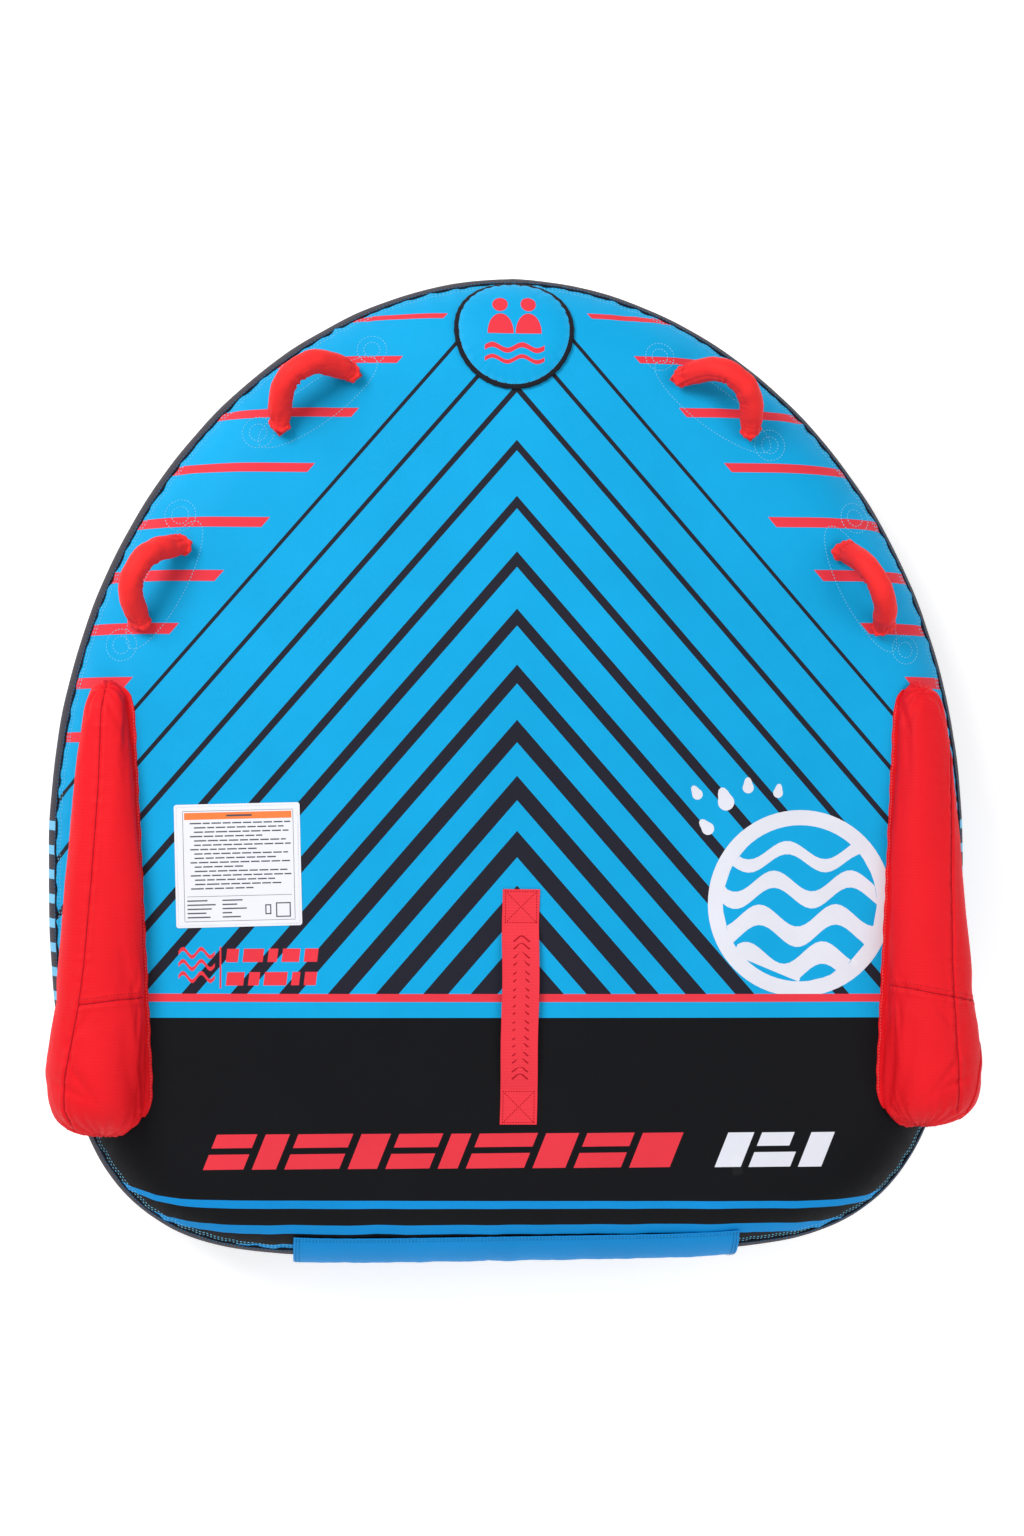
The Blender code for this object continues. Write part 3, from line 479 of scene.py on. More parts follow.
def spaced(path, pitch, closed=False):
    """Polyline resampled at an even pitch."""
    path = np.asarray(path, float)
    if closed:
        path = np.vstack([path, path[:1]])
    run = run_along(path)
    count = max(int(round(run[-1] / pitch)), 2)
    at = np.linspace(0, run[-1], count + 1)
    if closed:
        at = at[:-1]
    return np.stack([np.interp(at, run, path[:, k]) for k in range(path.shape[1])], 1)


def densify(loop, pitch):
    """Closed polygon with every side divided evenly, keeping its corners."""
    loop = np.asarray(loop, float)
    parts = []
    for a, b in zip(loop, np.roll(loop, -1, 0)):
        count = max(int(math.ceil(np.linalg.norm(b - a) / pitch)), 1)
        parts.append(a + (b - a) * np.arange(count)[:, None] / count)
    return np.vstack(parts)


def tangents(path, closed=False):
    if closed:
        return unit(np.roll(path, -1, 0) - np.roll(path, 1, 0))
    return unit(np.gradient(path, axis=0))


def sweep(path, side, up, profile, closed=False):
    """Points and faces of a profile of (across, out) pairs carried along a path; it may change by station."""
    profile = np.asarray(profile, float)
    if profile.ndim == 2:
        profile = np.repeat(profile[None], len(path), 0)
    points = (path[:, None] + side[:, None] * profile[..., :1] + up[:, None] * profile[..., 1:]).reshape(-1, 3)
    rows, columns = profile.shape[:2]
    faces = grid_faces(rows, columns, wrap=True, flip=True)
    last = (rows - 1) * columns
    if closed:
        faces += [(last + j, j, (j + 1) % columns, last + (j + 1) % columns) for j in range(columns)]
    else:
        faces += [tuple(range(columns)), tuple(range(last, last + columns))[::-1]]
    return points, faces


def ribbon(path, normals, profile, closed=False):
    """A profile carried along a path that lies on a surface."""
    return sweep(path, unit(np.cross(tangents(path, closed), normals)), normals, profile, closed)


def gather(parts):
    """Join several (points, faces) into one."""
    points, faces, start = [], [], 0
    for some, more in parts:
        points.append(np.asarray(some, float))
        faces += [tuple(i + start for i in face) for face in more]
        start += len(some)
    return np.vstack(points), faces


STITCH_SHARE = 0.62
STITCH_SHAPE = ((-0.5, 0.0, -0.3), (-0.3, 0.5, -0.2), (0.3, 0.5, -0.2), (0.5, 0.0, -0.3), (0.3, -0.5, -0.2),
                (-0.3, -0.5, -0.2), (-0.28, 0.0, 1.0), (0.28, 0.0, 1.0))
STITCH_FACES = ((0, 6, 1), (1, 6, 7, 2), (2, 7, 3), (3, 7, 4), (4, 7, 6, 5), (5, 6, 0), (0, 1, 2, 3, 4, 5))


def stitch_run(path, normals, pitch, width=0.0013, height=0.0007, closed=False):
    """A row of thread stitches lying along a path."""
    length = pitch * STITCH_SHARE
    tangent = tangents(path, closed)
    side = unit(np.cross(normals, tangent))
    parts = []
    for p, t, s, n in zip(path, tangent, side, normals):
        points = [p + t * a * length + s * b * width + n * c * height for a, b, c in STITCH_SHAPE]
        parts.append((points, STITCH_FACES))
    return gather(parts)


def stitches(name, runs, material, body="tube", slot=None, keep=False):
    """One object for several rows of stitches; each row is (path, normals, pitch, closed)."""
    points, faces = gather([stitch_run(*run[:3], closed=run[3]) for run in runs])
    return piece(name, points, faces, [material], body=body, slot=slot, keep=keep)


def side_run(along, angle, offset, pitch, closed=False):
    """A stitch row over arc lengths and angles on the rounded side."""
    return (*side_point(along, angle, offset), pitch, closed)


def deck_run(flat, pitch, closed=False, offset=0.0001):
    """A stitch row over plan points on the deck."""
    return (*skin(spaced(flat, pitch, closed), offset), pitch, closed)


def circle(x, y, radius, count=40, wide=None, turn=0.0):
    """Closed ring of plan points; with wide it is an ellipse, turned by turn."""
    a = np.linspace(0, 2 * math.pi, count, endpoint=False)
    u, v = (wide or radius) * np.cos(a), radius * np.sin(a)
    return np.stack([x + u * math.cos(turn) - v * math.sin(turn),
                     y + u * math.sin(turn) + v * math.cos(turn)], 1)


def box_corners(low_x, low_y, high_x, high_y):
    """Corners of an upright rectangle."""
    return [(low_x, low_y), (high_x, low_y), (high_x, high_y), (low_x, high_y)]


def inside(polygon, points):
    """Which points lie inside a polygon."""
    polygon = np.asarray(polygon, float)
    low, high = polygon.min(0), polygon.max(0)
    hit = np.zeros(len(points), bool)
    rows = np.where(((points >= low) & (points <= high)).all(1))[0]
    if len(rows) == 0:
        return hit
    x, y = points[rows, 0], points[rows, 1]
    for (ax, ay), (bx, by) in zip(polygon, np.roll(polygon, -1, 0)):
        if ay != by:
            hit[rows] ^= ((ay > y) != (by > y)) & (x < (bx - ax) * (y - ay) / (by - ay) + ax)
    return hit


def printed_sheet(loops, prints, fill, pitch, clear=0.42):
    """Flat triangulation of a region with print outlines cut into it.

    loops are the border and then any holes, prints is [(slot, [inside], [outside])] and fill the free points
    between, kept where they are clear of every line. Returns the points, triangles and each triangle's slot.
    """
    lines = [densify(loop, pitch) for loop in loops]
    for _, within, without in prints:
        lines += [densify(p, pitch) for p in (*within, *without)]
    tree = point_tree(np.vstack([densify(line, pitch / 3) for line in lines]))
    points = [Vector(p) for p in fill if tree.find((p[0], p[1], 0.0))[2] > pitch * clear]
    edges = []
    for line in lines:
        first = len(points)
        points += [Vector(p) for p in line]
        edges += [(first + i, first + (i + 1) % len(line)) for i in range(len(line))]
    flat, _, triangles, _, _, _ = delaunay_2d_cdt(points, edges, [], 0, 1e-6, False)
    flat = np.array([tuple(p) for p in flat])
    triangles = np.array([tuple(t) for t in triangles])
    a, b, c = (flat[triangles[:, k]] for k in range(3))
    area = (b[:, 0] - a[:, 0]) * (c[:, 1] - a[:, 1]) - (b[:, 1] - a[:, 1]) * (c[:, 0] - a[:, 0])
    centres = flat[triangles].mean(1)
    triangles[area < 0] = triangles[area < 0][:, ::-1]
    slots = np.zeros(len(triangles), np.int32)
    for slot, within, without in prints:
        hit = np.zeros(len(centres), bool)
        for polygon in within:
            hit |= inside(polygon, centres)
        for polygon in without:
            hit &= ~inside(polygon, centres)
        slots[hit] = slot
    keep = inside(loops[0], centres)
    for hole in loops[1:]:
        keep &= ~inside(hole, centres)
    used, triangles = np.unique(triangles[keep], return_inverse=True)
    return flat[used], triangles.reshape(-1, 3), slots[keep]


def staggered(low, high, pitch):
    """Points of a triangular grid over a box."""
    rows = []
    for i, y in enumerate(np.arange(low[1], high[1], pitch * 0.866)):
        x = np.arange(low[0] + (pitch / 2 if i % 2 else 0.0), high[0], pitch)
        rows.append(np.stack([x, np.full(len(x), y)], 1))
    return np.vstack(rows)


def rim_faces(loop, shift):
    """Walls between a closed border and its copy shift indices on."""
    return [(a, a + shift, b + shift, b) for a, b in zip(loop, loop[1:] + loop[:1])]


def border_loop(triangles):
    """The outer border of a triangulation with one border, in order."""
    pairs = {(int(t[i]), int(t[(i + 1) % 3])) for t in triangles for i in range(3)}
    forward = {a: b for a, b in pairs if (b, a) not in pairs}
    loop = [next(iter(forward))]
    while forward[loop[-1]] != loop[0]:
        loop.append(forward[loop[-1]])
    return loop


def two_sided(name, top, normals, thick, triangles, slots, materials, **settings):
    """Printed sheet closed by a plain back and a rim."""
    count = len(top)
    back = [tuple(i + count for i in t[::-1]) for t in triangles] + rim_faces(border_loop(triangles), count)
    return piece(name, np.vstack([top, top - normals * thick]), [tuple(t) for t in triangles] + back, materials,
                 list(slots) + [0] * len(back), smooth=60, **settings)


# ---------------------------------------------------------------- camera, light and floor

CAMERA_AT = Vector((-0.20, 0.0, 3.205))
CAMERA_TO = Vector((-0.0075, 0.0, 0.253))
FOCAL_MM = 46.0
FLOOR_GLOW = 0.42
SKY_GLOW = 0.40
# Each soft light: where it hangs, what it points at, its diameter and its power in watts.
LIGHTS = {
    "key_light": ((-2.0, 1.9, 3.0), (0.0, 0.0, 0.2), 1.9, 96.0),
    "fill_light": ((2.4, 0.2, 3.2), (0.2, 0.0, 0.2), 2.6, 32.0),
    "tail_light": ((-0.2, -2.8, 2.6), (0.0, -0.4, 0.2), 2.2, 26.0),
}


def make_stage():
    scene = bpy.context.scene
    ahead = (CAMERA_TO - CAMERA_AT).normalized()
    right = ahead.cross(Vector((0, 1, 0))).normalized()
    up = right.cross(ahead)
    data = bpy.data.cameras.new("camera")
    data.lens = FOCAL_MM
    data.sensor_width = 36.0
    data.clip_start, data.clip_end = 0.05, 200.0
    camera = bpy.data.objects.new("camera", data)
    camera.matrix_world = Matrix.Translation(CAMERA_AT) @ Matrix((right, up, -ahead)).transposed().to_4x4()
    scene.collection.objects.link(camera)
    scene.camera = camera

    bm = bmesh.new()
    bmesh.ops.create_grid(bm, x_segments=8, y_segments=8, size=24.0)
    mesh = bpy.data.meshes.new("floor")
    bm.to_mesh(mesh)
    bm.free()
    floor = bpy.data.objects.new("floor", mesh)
    floor.location.z = CAD_LOW.z - 0.0005
    scene.collection.objects.link(floor)
    s = Surface("floor_paper", roughness=0.85, specular=0.15)
    s.shader.inputs["Emission Color"].default_value = (1.0, 1.0, 1.0, 1.0)
    s.shader.inputs["Emission Strength"].default_value = FLOOR_GLOW
    s.done(s.mix(s.ramp(s.noise(0.8), 0.0, 1.0), (0.93, 0.93, 0.94, 1.0), (0.96, 0.96, 0.96, 1.0)))
    mesh.materials.append(s.material)

    world = bpy.data.worlds.new("studio")
    world.use_nodes = True
    sky = world.node_tree.nodes["Background"]
    sky.inputs["Color"].default_value = (0.97, 0.98, 1.0, 1.0)
    sky.inputs["Strength"].default_value = SKY_GLOW
    scene.world = world
    for name, (spot, aim, size, power) in LIGHTS.items():
        lamp = bpy.data.lights.new(name, "AREA")
        lamp.shape = "DISK"
        lamp.size = size
        lamp.energy = power
        light = bpy.data.objects.new(name, lamp)
        light.location = spot
        light.rotation_euler = (Vector(aim) - Vector(spot)).to_track_quat("-Z", "Y").to_euler()
        light.visible_camera = False
        scene.collection.objects.link(light)
    scene.view_settings.view_transform = "Standard"


# ---------------------------------------------------------------- the printed deck

ARM_SLOPE = 1.15
CHEVRONS = ((0.7450, 0.0084), (0.6583, 0.0098), (0.5734, 0.0128), (0.4871, 0.0158), (0.4009, 0.0188),
            (0.3148, 0.0233), (0.2274, 0.0255), (0.1416, 0.0285), (0.0557, 0.0338), (-0.0301, 0.0368),
            (-0.1145, 0.0398), (-0.1988, 0.0435), (-0.2830, 0.0465))
DASHES_LEFT = ((-0.1034, 0.6884, 0.0084), (-0.1715, 0.6195, 0.0106), (-0.2375, 0.5404, 0.0135),
               (-0.3032, 0.4571, 0.0135), (-0.3703, 0.3756, 0.0149), (-0.4386, 0.2959, 0.0165),
               (-0.5053, 0.2164, 0.0164), (-0.5735, 0.1357, 0.0165), (-0.6300, 0.0540, 0.0150))
DASHES_RIGHT = ((0.1082, 0.6922, 0.0086), (0.1781, 0.6244, 0.0108), (0.2466, 0.5462, 0.0137),
                (0.3155, 0.4634, 0.0137), (0.3830, 0.3819, 0.0152), (0.4539, 0.3018, 0.0168),
                (0.5250, 0.2213, 0.0168), (0.5953, 0.1395, 0.0169))
BAND_TILT = -0.0077
# Each tail band: how far out it reaches, then its upper and lower lines as the y at the middle, the
# slope, and where and how strongly the line curves up at the left and at the right corner.
REAR_BANDS = (
    (0.62, (-0.6539, -0.016, (0.49, 1.50), (0.51, 2.38)), (-0.6663, -0.015, (0.47, 1.33), (0.51, 2.59))),
    (0.59, (-0.6928, -0.013, (0.45, 1.35), (0.46, 1.44)), (-0.7090, -0.015, (0.41, 0.91), (0.41, 0.98))),
    (0.54, (-0.7289, -0.014, (0.42, 1.25), (0.39, 1.34)), (-0.7484, -0.009, (0.34, 0.83), (0.33, 0.83))),
)
BLOCK_WIDTHS = (0.060, 0.036, 0.082, 0.044, 0.066, 0.030, 0.088, 0.050, 0.072, 0.062)
BLOCK_SLOPE = 0.40
MOTIF_AT, MOTIF_RADIUS, MOTIF_HOLE = (0.432, -0.206), 0.142, 0.119
MOTIF_WAVES = ((-0.135, 0.020, 0.014, 0.4), (-0.185, 0.026, 0.016, 1.5), (-0.240, 0.031, 0.017, 2.7),
               (-0.298, 0.034, 0.017, 3.8))
MOTIF_SPRAY = ((0.318, -0.052, 0.0125, 1.9), (0.290, -0.092, 0.0095, 2.3), (0.352, -0.030, 0.0085, 1.6),
               (0.274, -0.040, 0.0080, 2.1), (0.398, -0.038, 0.0075, 1.4))
MARK_BARS = ((-0.290, (0.018, 0.030, 0.014, 0.026, 0.020)), (-0.325, (0.026, 0.016, 0.034, 0.012, 0.018)))
BLUE_SLOT, DARK_SLOT, BLACK_SLOT, RED_SLOT, WHITE_SLOT, REAR_SLOT = range(6)


def band(top, bottom):
    """Outline of a strip between two lines of points that run the same way."""
    return [tuple(point) for point in top] + [tuple(point) for point in bottom][::-1]


def tail_band(reach, top, bottom):
    """Outline of a tail band between two lines that curve up towards the corners."""
    x = np.linspace(-reach, reach, 33)
    lines = []
    for middle, slope, left, right in (top, bottom):
        beyond_left = np.clip(-x - left[0], 0.0, None)
        beyond_right = np.clip(x - right[0], 0.0, None)
        y = middle + slope * x + left[1] * beyond_left ** 2 + right[1] * beyond_right ** 2
        lines.append(list(zip(x, y)))
    return band(*lines)


def tilted(x, y):
    return (x, y + BAND_TILT * x)


def slanted(x, y, wide, tall, slope):
    """Parallelogram whose ends lean by slope."""
    lean = tall * slope
    return [(x, y), (x + wide, y), (x + wide + lean, y + tall), (x + lean, y + tall)]


def wave_band(x_low, x_high, y, thick, swing, period, phase=0.0):
    """Outline of a band that rises and falls."""
    x = np.linspace(x_low, x_high, 41)
    middle = y + swing * np.sin(2 * math.pi * (x - x_low) / period + phase)
    return band(np.stack([x, middle + thick / 2], 1), np.stack([x, middle - thick / 2], 1))


def clipped(shape, centre, radius):
    """A band cut off by a circle: its points outside are moved back to where their row meets the circle."""
    out = np.asarray(shape, float).copy()
    dy = np.clip(out[:, 1] - centre[1], -radius * 0.9999, radius * 0.9999)
    reach = np.sqrt(radius ** 2 - dy ** 2)
    out[:, 0] = centre[0] + np.clip(out[:, 0] - centre[0], -reach, reach)
    return out


def drop(x, y, size, turn):
    """Water drop with its point along turn."""
    a = np.linspace(0, 2 * math.pi, 28, endpoint=False)
    reach = size * (1 + 0.9 * np.maximum(np.cos(a), 0.0) ** 7)
    return np.stack([x + reach * np.cos(a + turn), y + reach * np.sin(a + turn)], 1)


def speed_block(add, slot, x, width, tall=0.0525):
    """A slanted block standing on the foot line of the tail's blocks."""
    add(slot, slanted(*tilted(x, -0.6040), width, tall, BLOCK_SLOPE))


def split_block(add, slot, x, width, upper_width):
    """Two low blocks over each other."""
    speed_block(add, slot, x, width, 0.0225)
    _, y = tilted(x, -0.5720)
    add(slot, slanted(x + 0.0128, y, upper_width, 0.0205, BLOCK_SLOPE))


def deck_prints():
    """Everything printed on the deck, in the order it is laid down."""
    prints = []

    def add(slot, shape, without=()):
        prints.append((slot, [shape], list(without)))

    wide = HALF_WIDTH + 0.06
    fall = ARM_SLOPE * wide
    for apex, thick in CHEVRONS:
        top, bottom = apex + thick / 2, apex - thick / 2
        add(DARK_SLOT, [(0.0, top), (wide, top - fall), (wide, bottom - fall), (0.0, bottom),
                        (-wide, bottom - fall), (-wide, top - fall)])
    for side, dashes in ((-1, DASHES_LEFT), (1, DASHES_RIGHT)):
        for x, y, thick in dashes:
            inner = x + side * thick / ARM_SLOPE
            add(RED_SLOT, [(x, y), (inner, y - thick), (side * wide, y - thick), (side * wide, y)])

    # Water motif: a ring with rolling waves in it, and spray thrown up at its left.
    cx, cy = MOTIF_AT
    hole = circle(cx, cy, MOTIF_HOLE, 64)
    add(WHITE_SLOT, circle(cx, cy, MOTIF_RADIUS, 72), [hole])
    add(BLUE_SLOT, hole)
    for y, thick, swing, phase in MOTIF_WAVES:
        shape = wave_band(cx - 0.16, cx + 0.16, y, thick, swing, 0.118, phase)
        add(WHITE_SLOT, clipped(shape, (cx, cy), MOTIF_HOLE))
    for spray in MOTIF_SPRAY:
        add(WHITE_SLOT, drop(*spray))

    # Small mark beside the label: three waves, a rule and two rows of plain bars.
    for y in (-0.276, -0.294, -0.312):
        add(RED_SLOT, wave_band(-0.506, -0.452, y, 0.006, 0.006, 0.027))
    add(RED_SLOT, box_corners(-0.445, -0.329, -0.4425, -0.267))
    for y, widths in MARK_BARS:
        x = -0.436
        for width in widths:
            add(RED_SLOT, slanted(x, y, width, 0.020, 0.12))
            x += width + 0.007

    # Red line, blue line and black panel across the tail, and the panel's bands.
    for slot, top, bottom in ((RED_SLOT, -0.3405, -0.3526), (BLUE_SLOT, -0.3526, -0.3765)):
        add(slot, [tilted(-wide, top), tilted(wide, top), tilted(wide, bottom), tilted(-wide, bottom)])
    low = TAIL_Y - 0.03
    add(BLACK_SLOT, [tilted(-wide, -0.3765), tilted(wide, -0.3765), (wide, low), (-wide, low)])
    for reach, top, bottom in REAR_BANDS:
        add(REAR_SLOT, tail_band(reach, top, bottom))

    # Plain slanted speed blocks across the black panel; every other one is split in two storeys.
    x = -0.4700
    for index, width in enumerate(BLOCK_WIDTHS):
        if index % 2:
            speed_block(add, RED_SLOT, x, width)
        else:
            split_block(add, RED_SLOT, x, width, width)
        x += width + 0.0125
    speed_block(add, WHITE_SLOT, 0.3010, 0.040)
    split_block(add, WHITE_SLOT, 0.3530, 0.064, 0.050)
    speed_block(add, WHITE_SLOT, 0.4290, 0.036)
    return prints


def seam_ring(extra, pitch):
    """Plan points along the upper seam, moved in by extra."""
    s = np.arange(0, PERIMETER, PERIMETER / round(PERIMETER / pitch))
    flat, out = edge_at(s)
    inset = EDGE_RADIUS * (1 - np.cos(np.radians(seam_angle(s)))) + extra
    return flat - out * inset[:, None]


def build_deck():
    """Printed top cover, with a hole over the valve, and its two rows of seam stitches."""

    def ring(inset, pitch):
        flat, out = edge_at(np.arange(0, PERIMETER, PERIMETER / round(PERIMETER / pitch)))
        return flat - out * inset

    low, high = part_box("valve_base")
    loops = [seam_ring(0.0004, 0.0062), circle(0.0, (low.y + high.y) / 2, 0.031, 40)]
    grid = staggered((-HALF_WIDTH, TAIL_Y), (HALF_WIDTH, NOSE_Y), 0.0092)
    fill = [ring(inset, 0.0068) for inset in (0.0245, 0.0285, 0.0335, 0.0395)]
    fill.append(grid[inside(ring(0.0450, 0.02), grid)])
    flat, triangles, slots = printed_sheet(loops, deck_prints(), np.vstack(fill), 0.0095)
    deck = piece("deck_cover", skin(flat)[0], triangles,
                 ["deck_blue", "deck_dark", "deck_black", "deck_red", "deck_white", "rear_blue"],
                 slots, slot="deck_nylon", smooth=60)
    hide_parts("top_cover")
    rows = [deck_run(seam_ring(extra, 0.02), 0.0058, True) for extra in (0.0040, 0.0082)]
    stitches("deck_seam_stitches", rows, "thread_blue", slot="deck_nylon")


# ---------------------------------------------------------------- side, base and bindings

TICK_START, TICK_END, TICK_PITCH, TICK_WIDTH = -0.080, -0.46, 0.0373, 0.0142
TAPE_PROFILE = ((-0.0024, -0.0012), (-0.0023, 0.0006), (-0.0012, 0.0016), (0.0, 0.0019), (0.0012, 0.0016),
                (0.0023, 0.0006), (0.0024, -0.0012))


def half_station(side, y):
    """Arc length of the outline at a y on one side."""
    half = len(EDGE_S) // 2
    rows = slice(0, half) if side > 0 else slice(half, len(EDGE_S))
    order = np.argsort(EDGE_XY[rows, 1])
    return np.interp(y, EDGE_XY[rows, 1][order], EDGE_S[rows][order])


def build_side_panel():
    """Side panel with a row of printed ticks on either side."""
    cuts, marks = [], []
    for side in (1, -1):
        y = TICK_START
        while y > TICK_END:
            pair = half_station(side, [y, y - TICK_WIDTH])
            marks.append((min(pair), max(pair)))
            cuts += list(pair)
            y -= TICK_PITCH
    base = [s for s in np.arange(0, PERIMETER - 0.004, 0.0085) if all(abs(s - c) > 0.0035 for c in cuts)]
    along = np.array(sorted(base + cuts))
    s, share = np.meshgrid(along, np.linspace(1.0, -1.0, 23))
    a = share * np.where(share > 0, seam_angle(s) - 0.4, -seam_angle(s, -1) - 0.4)
    near_seam = np.exp(-(SEAM_ANGLE - np.abs(a)) / 6.0)
    lift = (0.0012 * near_seam * waves(s, 0.041, 2.2) - 0.0009 * near_seam
            + 0.0006 * waves(s, 0.16, 0.7) * np.cos(np.radians(a) * 2.6))
    points, normals = side_point(s, a)
    middles = (along + np.append(along[1:], PERIMETER)) / 2
    printed = [int(any(low < middle < high for low, high in marks)) for middle in middles]
    panel = piece("side_panel_cloth", (points + normals * lift[..., None]).reshape(-1, 3),
                  grid_faces(*s.shape, wrap=True, flip=True), ["side_dark", "side_blue"],
                  printed * (len(s) - 1), slot="dark_nylon", smooth=60)
    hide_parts("side_panel")


def build_base():
    """Bottom cover: from the lower seam under the tube to the flat middle."""
    along = np.arange(0, PERIMETER - 0.005, 0.0105)
    s, a = np.meshgrid(along, np.linspace(-(SEAM_ANGLE + 0.4), -90.0, 11))
    a[0] = seam_angle(along, -1) - 0.4
    near_seam = np.exp(-(np.abs(a) - SEAM_ANGLE) / 7.0)
    lift = near_seam * (0.0012 * waves(s, 0.044, 5.1) - 0.0006)
    points, normals = side_point(s, a)
    rings, count = [(points + normals * lift[..., None]).reshape(-1, 3)], len(along)
    flat, out = edge_at(along)
    inner = flat - out * EDGE_RADIUS
    middle = np.array([0.0, WIDEST_Y])
    scales = (0.93, 0.84, 0.72, 0.58, 0.43, 0.28, 0.14, 0.05)
    for scale in scales:
        rings.append(np.column_stack([middle + (inner - middle) * scale, np.full(count, 0.0002)]))
    rings.append(np.array([[0.0, WIDEST_Y, 0.0002]]))
    total = np.vstack(rings)
    faces = grid_faces(len(a) + len(scales), count, wrap=True, flip=True)
    tip = len(total) - 1
    faces += [(tip - count + j, tip, tip - count + (j + 1) % count) for j in range(count)]
    total[:, 2] = np.maximum(total[:, 2], 0.0)
    bottom = piece("base_cover", total, faces, ["base"], slot="dark_nylon", smooth=60)
    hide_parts("bottom_cover")


def build_bindings():
    """Tape sewn over the upper and the lower seam."""
    for name, sign in (("upper", 1), ("lower", -1)):
        s = np.arange(0, PERIMETER - 0.003, 0.0062)
        centre, normal = side_point(s, seam_angle(s, sign), 0.0004)
        swell = 1 + 0.14 * waves(s, 0.022, 0.9 + sign)
        points, faces = ribbon(centre, normal, np.array(TAPE_PROFILE)[None] * swell[:, None, None], closed=True)
        tape = piece(f"{name}_binding", points, faces, ["binding"], slot="dark_nylon")
        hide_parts(f"{name}_seam_binding")
        dense = np.arange(0, PERIMETER - 0.003, 0.0060)
        rows = [side_run(dense, seam_angle(dense, sign), 0.0022, 0.0060, True)]
        stitches(f"{name}_binding_stitches", rows, "thread_dark_blue", slot="dark_nylon")


# ---------------------------------------------------------------- valve flap

def flap_surface(u, v, offset):
    """Points over the nose for flap coordinates, u to the right and v towards the nose."""
    x = FLAP_X + u
    y = np.full(len(u), FLAP_Y)
    steps = 12
    for _ in range(steps):
        here, _ = skin(np.stack([x, y], 1), 0.0, 0.0)
        ahead, _ = skin(np.stack([x, y + 0.001], 1), 0.0, 0.0)
        slope = np.arctan2(ahead[:, 2] - here[:, 2], 0.001)
        y = y + v / steps * np.cos(slope)
    point, normal = skin(np.stack([x, y], 1), 0.0, 0.0)
    return point + normal * np.reshape(offset, (-1, 1)), normal


def flap_height(radius):
    return FLAP_BASE + FLAP_DOME * (1 - (np.minimum(radius, FLAP_RIM) / FLAP_RIM) ** 4)


def build_flap():
    """Badge flap with two plain figures over waves, its bound rim and its stitches."""
    prints = []
    for x in (-0.021, 0.021):
        body = [(x + 0.0195 * math.cos(t), -0.010 + 0.029 * math.sin(t)) for t in np.linspace(0, math.pi, 22)]
        prints += [(1, [circle(x, 0.034, 0.0115, 30)], []), (1, [body], [])]
    for y, thick in ((-0.030, 0.0075), (-0.047, 0.0060)):
        prints.append((1, [wave_band(-0.045, 0.045, y, thick, 0.0042, 0.045)], []))
    border = circle(0.0, 0.0, FLAP_RADIUS + 0.002, 130)
    grid = staggered((-0.086, -0.086), (0.086, 0.086), 0.0042)
    fill = grid[np.hypot(grid[:, 0], grid[:, 1]) < FLAP_RADIUS - 0.001]
    flat, triangles, slots = printed_sheet([border], prints, fill, 0.0040)
    radius = np.hypot(flat[:, 0], flat[:, 1])
    turn = np.arctan2(flat[:, 1], flat[:, 0])
    pucker = 0.0006 * np.exp(-(FLAP_RADIUS - radius) / 0.012) * np.sin(turn * 31 + 2 * np.sin(turn * 3))
    sag = 0.0005 * np.sin(flat[:, 0] * 55 + 1.0) * np.sin(flat[:, 1] * 47)
    top, normals = flap_surface(flat[:, 0], flat[:, 1], flap_height(radius) + 0.0012 + pucker + sag)
    flap = two_sided("valve_flap_cloth", top, normals, 0.0011, triangles, slots, ["deck_blue", "deck_red"],
                     body="valve_flap", slot="deck_nylon")
    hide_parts("valve_flap")

    a = np.linspace(0, 2 * math.pi, 150, endpoint=False)
    r = (FLAP_RADIUS + FLAP_RIM) / 2 - 0.0004
    centre, normal = flap_surface(r * np.sin(a), r * np.cos(a), np.full(len(a), FLAP_BASE + 0.0014))
    swell = 1 + 0.07 * np.sin(a * 37 + 1.5 * np.sin(a * 5))
    b = np.linspace(0, 2 * math.pi, 14, endpoint=False)
    half = (FLAP_RIM - FLAP_RADIUS) / 2 + 0.0006
    profile = np.stack([half * np.sign(np.cos(b)) * np.abs(np.cos(b)) ** 0.7, 0.0027 * np.sin(b)], 1)
    points, faces = ribbon(centre, normal, profile[None] * swell[:, None, None], closed=True)
    rim = piece("valve_flap_rim", points, faces, ["binding"], body="valve_flap", slot="dark_nylon")
    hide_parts("valve_flap_binding")
    r = FLAP_RADIUS + 0.0020
    a = np.linspace(0, 2 * math.pi, 104, endpoint=False)
    path, normals = flap_surface(r * np.sin(a), r * np.cos(a), np.full(len(a), FLAP_BASE + 0.0038))
    rows = [(path, normals, 0.0050, True)]
    stitches("valve_flap_stitches", rows, "thread_grey", body="valve_flap", slot="deck_nylon")


# ---------------------------------------------------------------- label and strap

LABEL_SIZE = (0.187, 0.184)
LABEL_ROWS = (1.0, 0.93, 0.98, 0.72, 0.95, 1.0, 0.66, 0.97, 0.90, 0.99, 0.55, 0.96, 1.0, 0.83, 0.94, 0.62)
LABEL_COLUMNS = ((0.030, 0.082), (0.042, 0.074), (0.036, 0.088), (0.028, 0.066), (0.034, 0.079))
STRAP_AT = (0.004, -0.360)
STRAP_HALF = 0.0280
STRAP_FACE = 0.0024
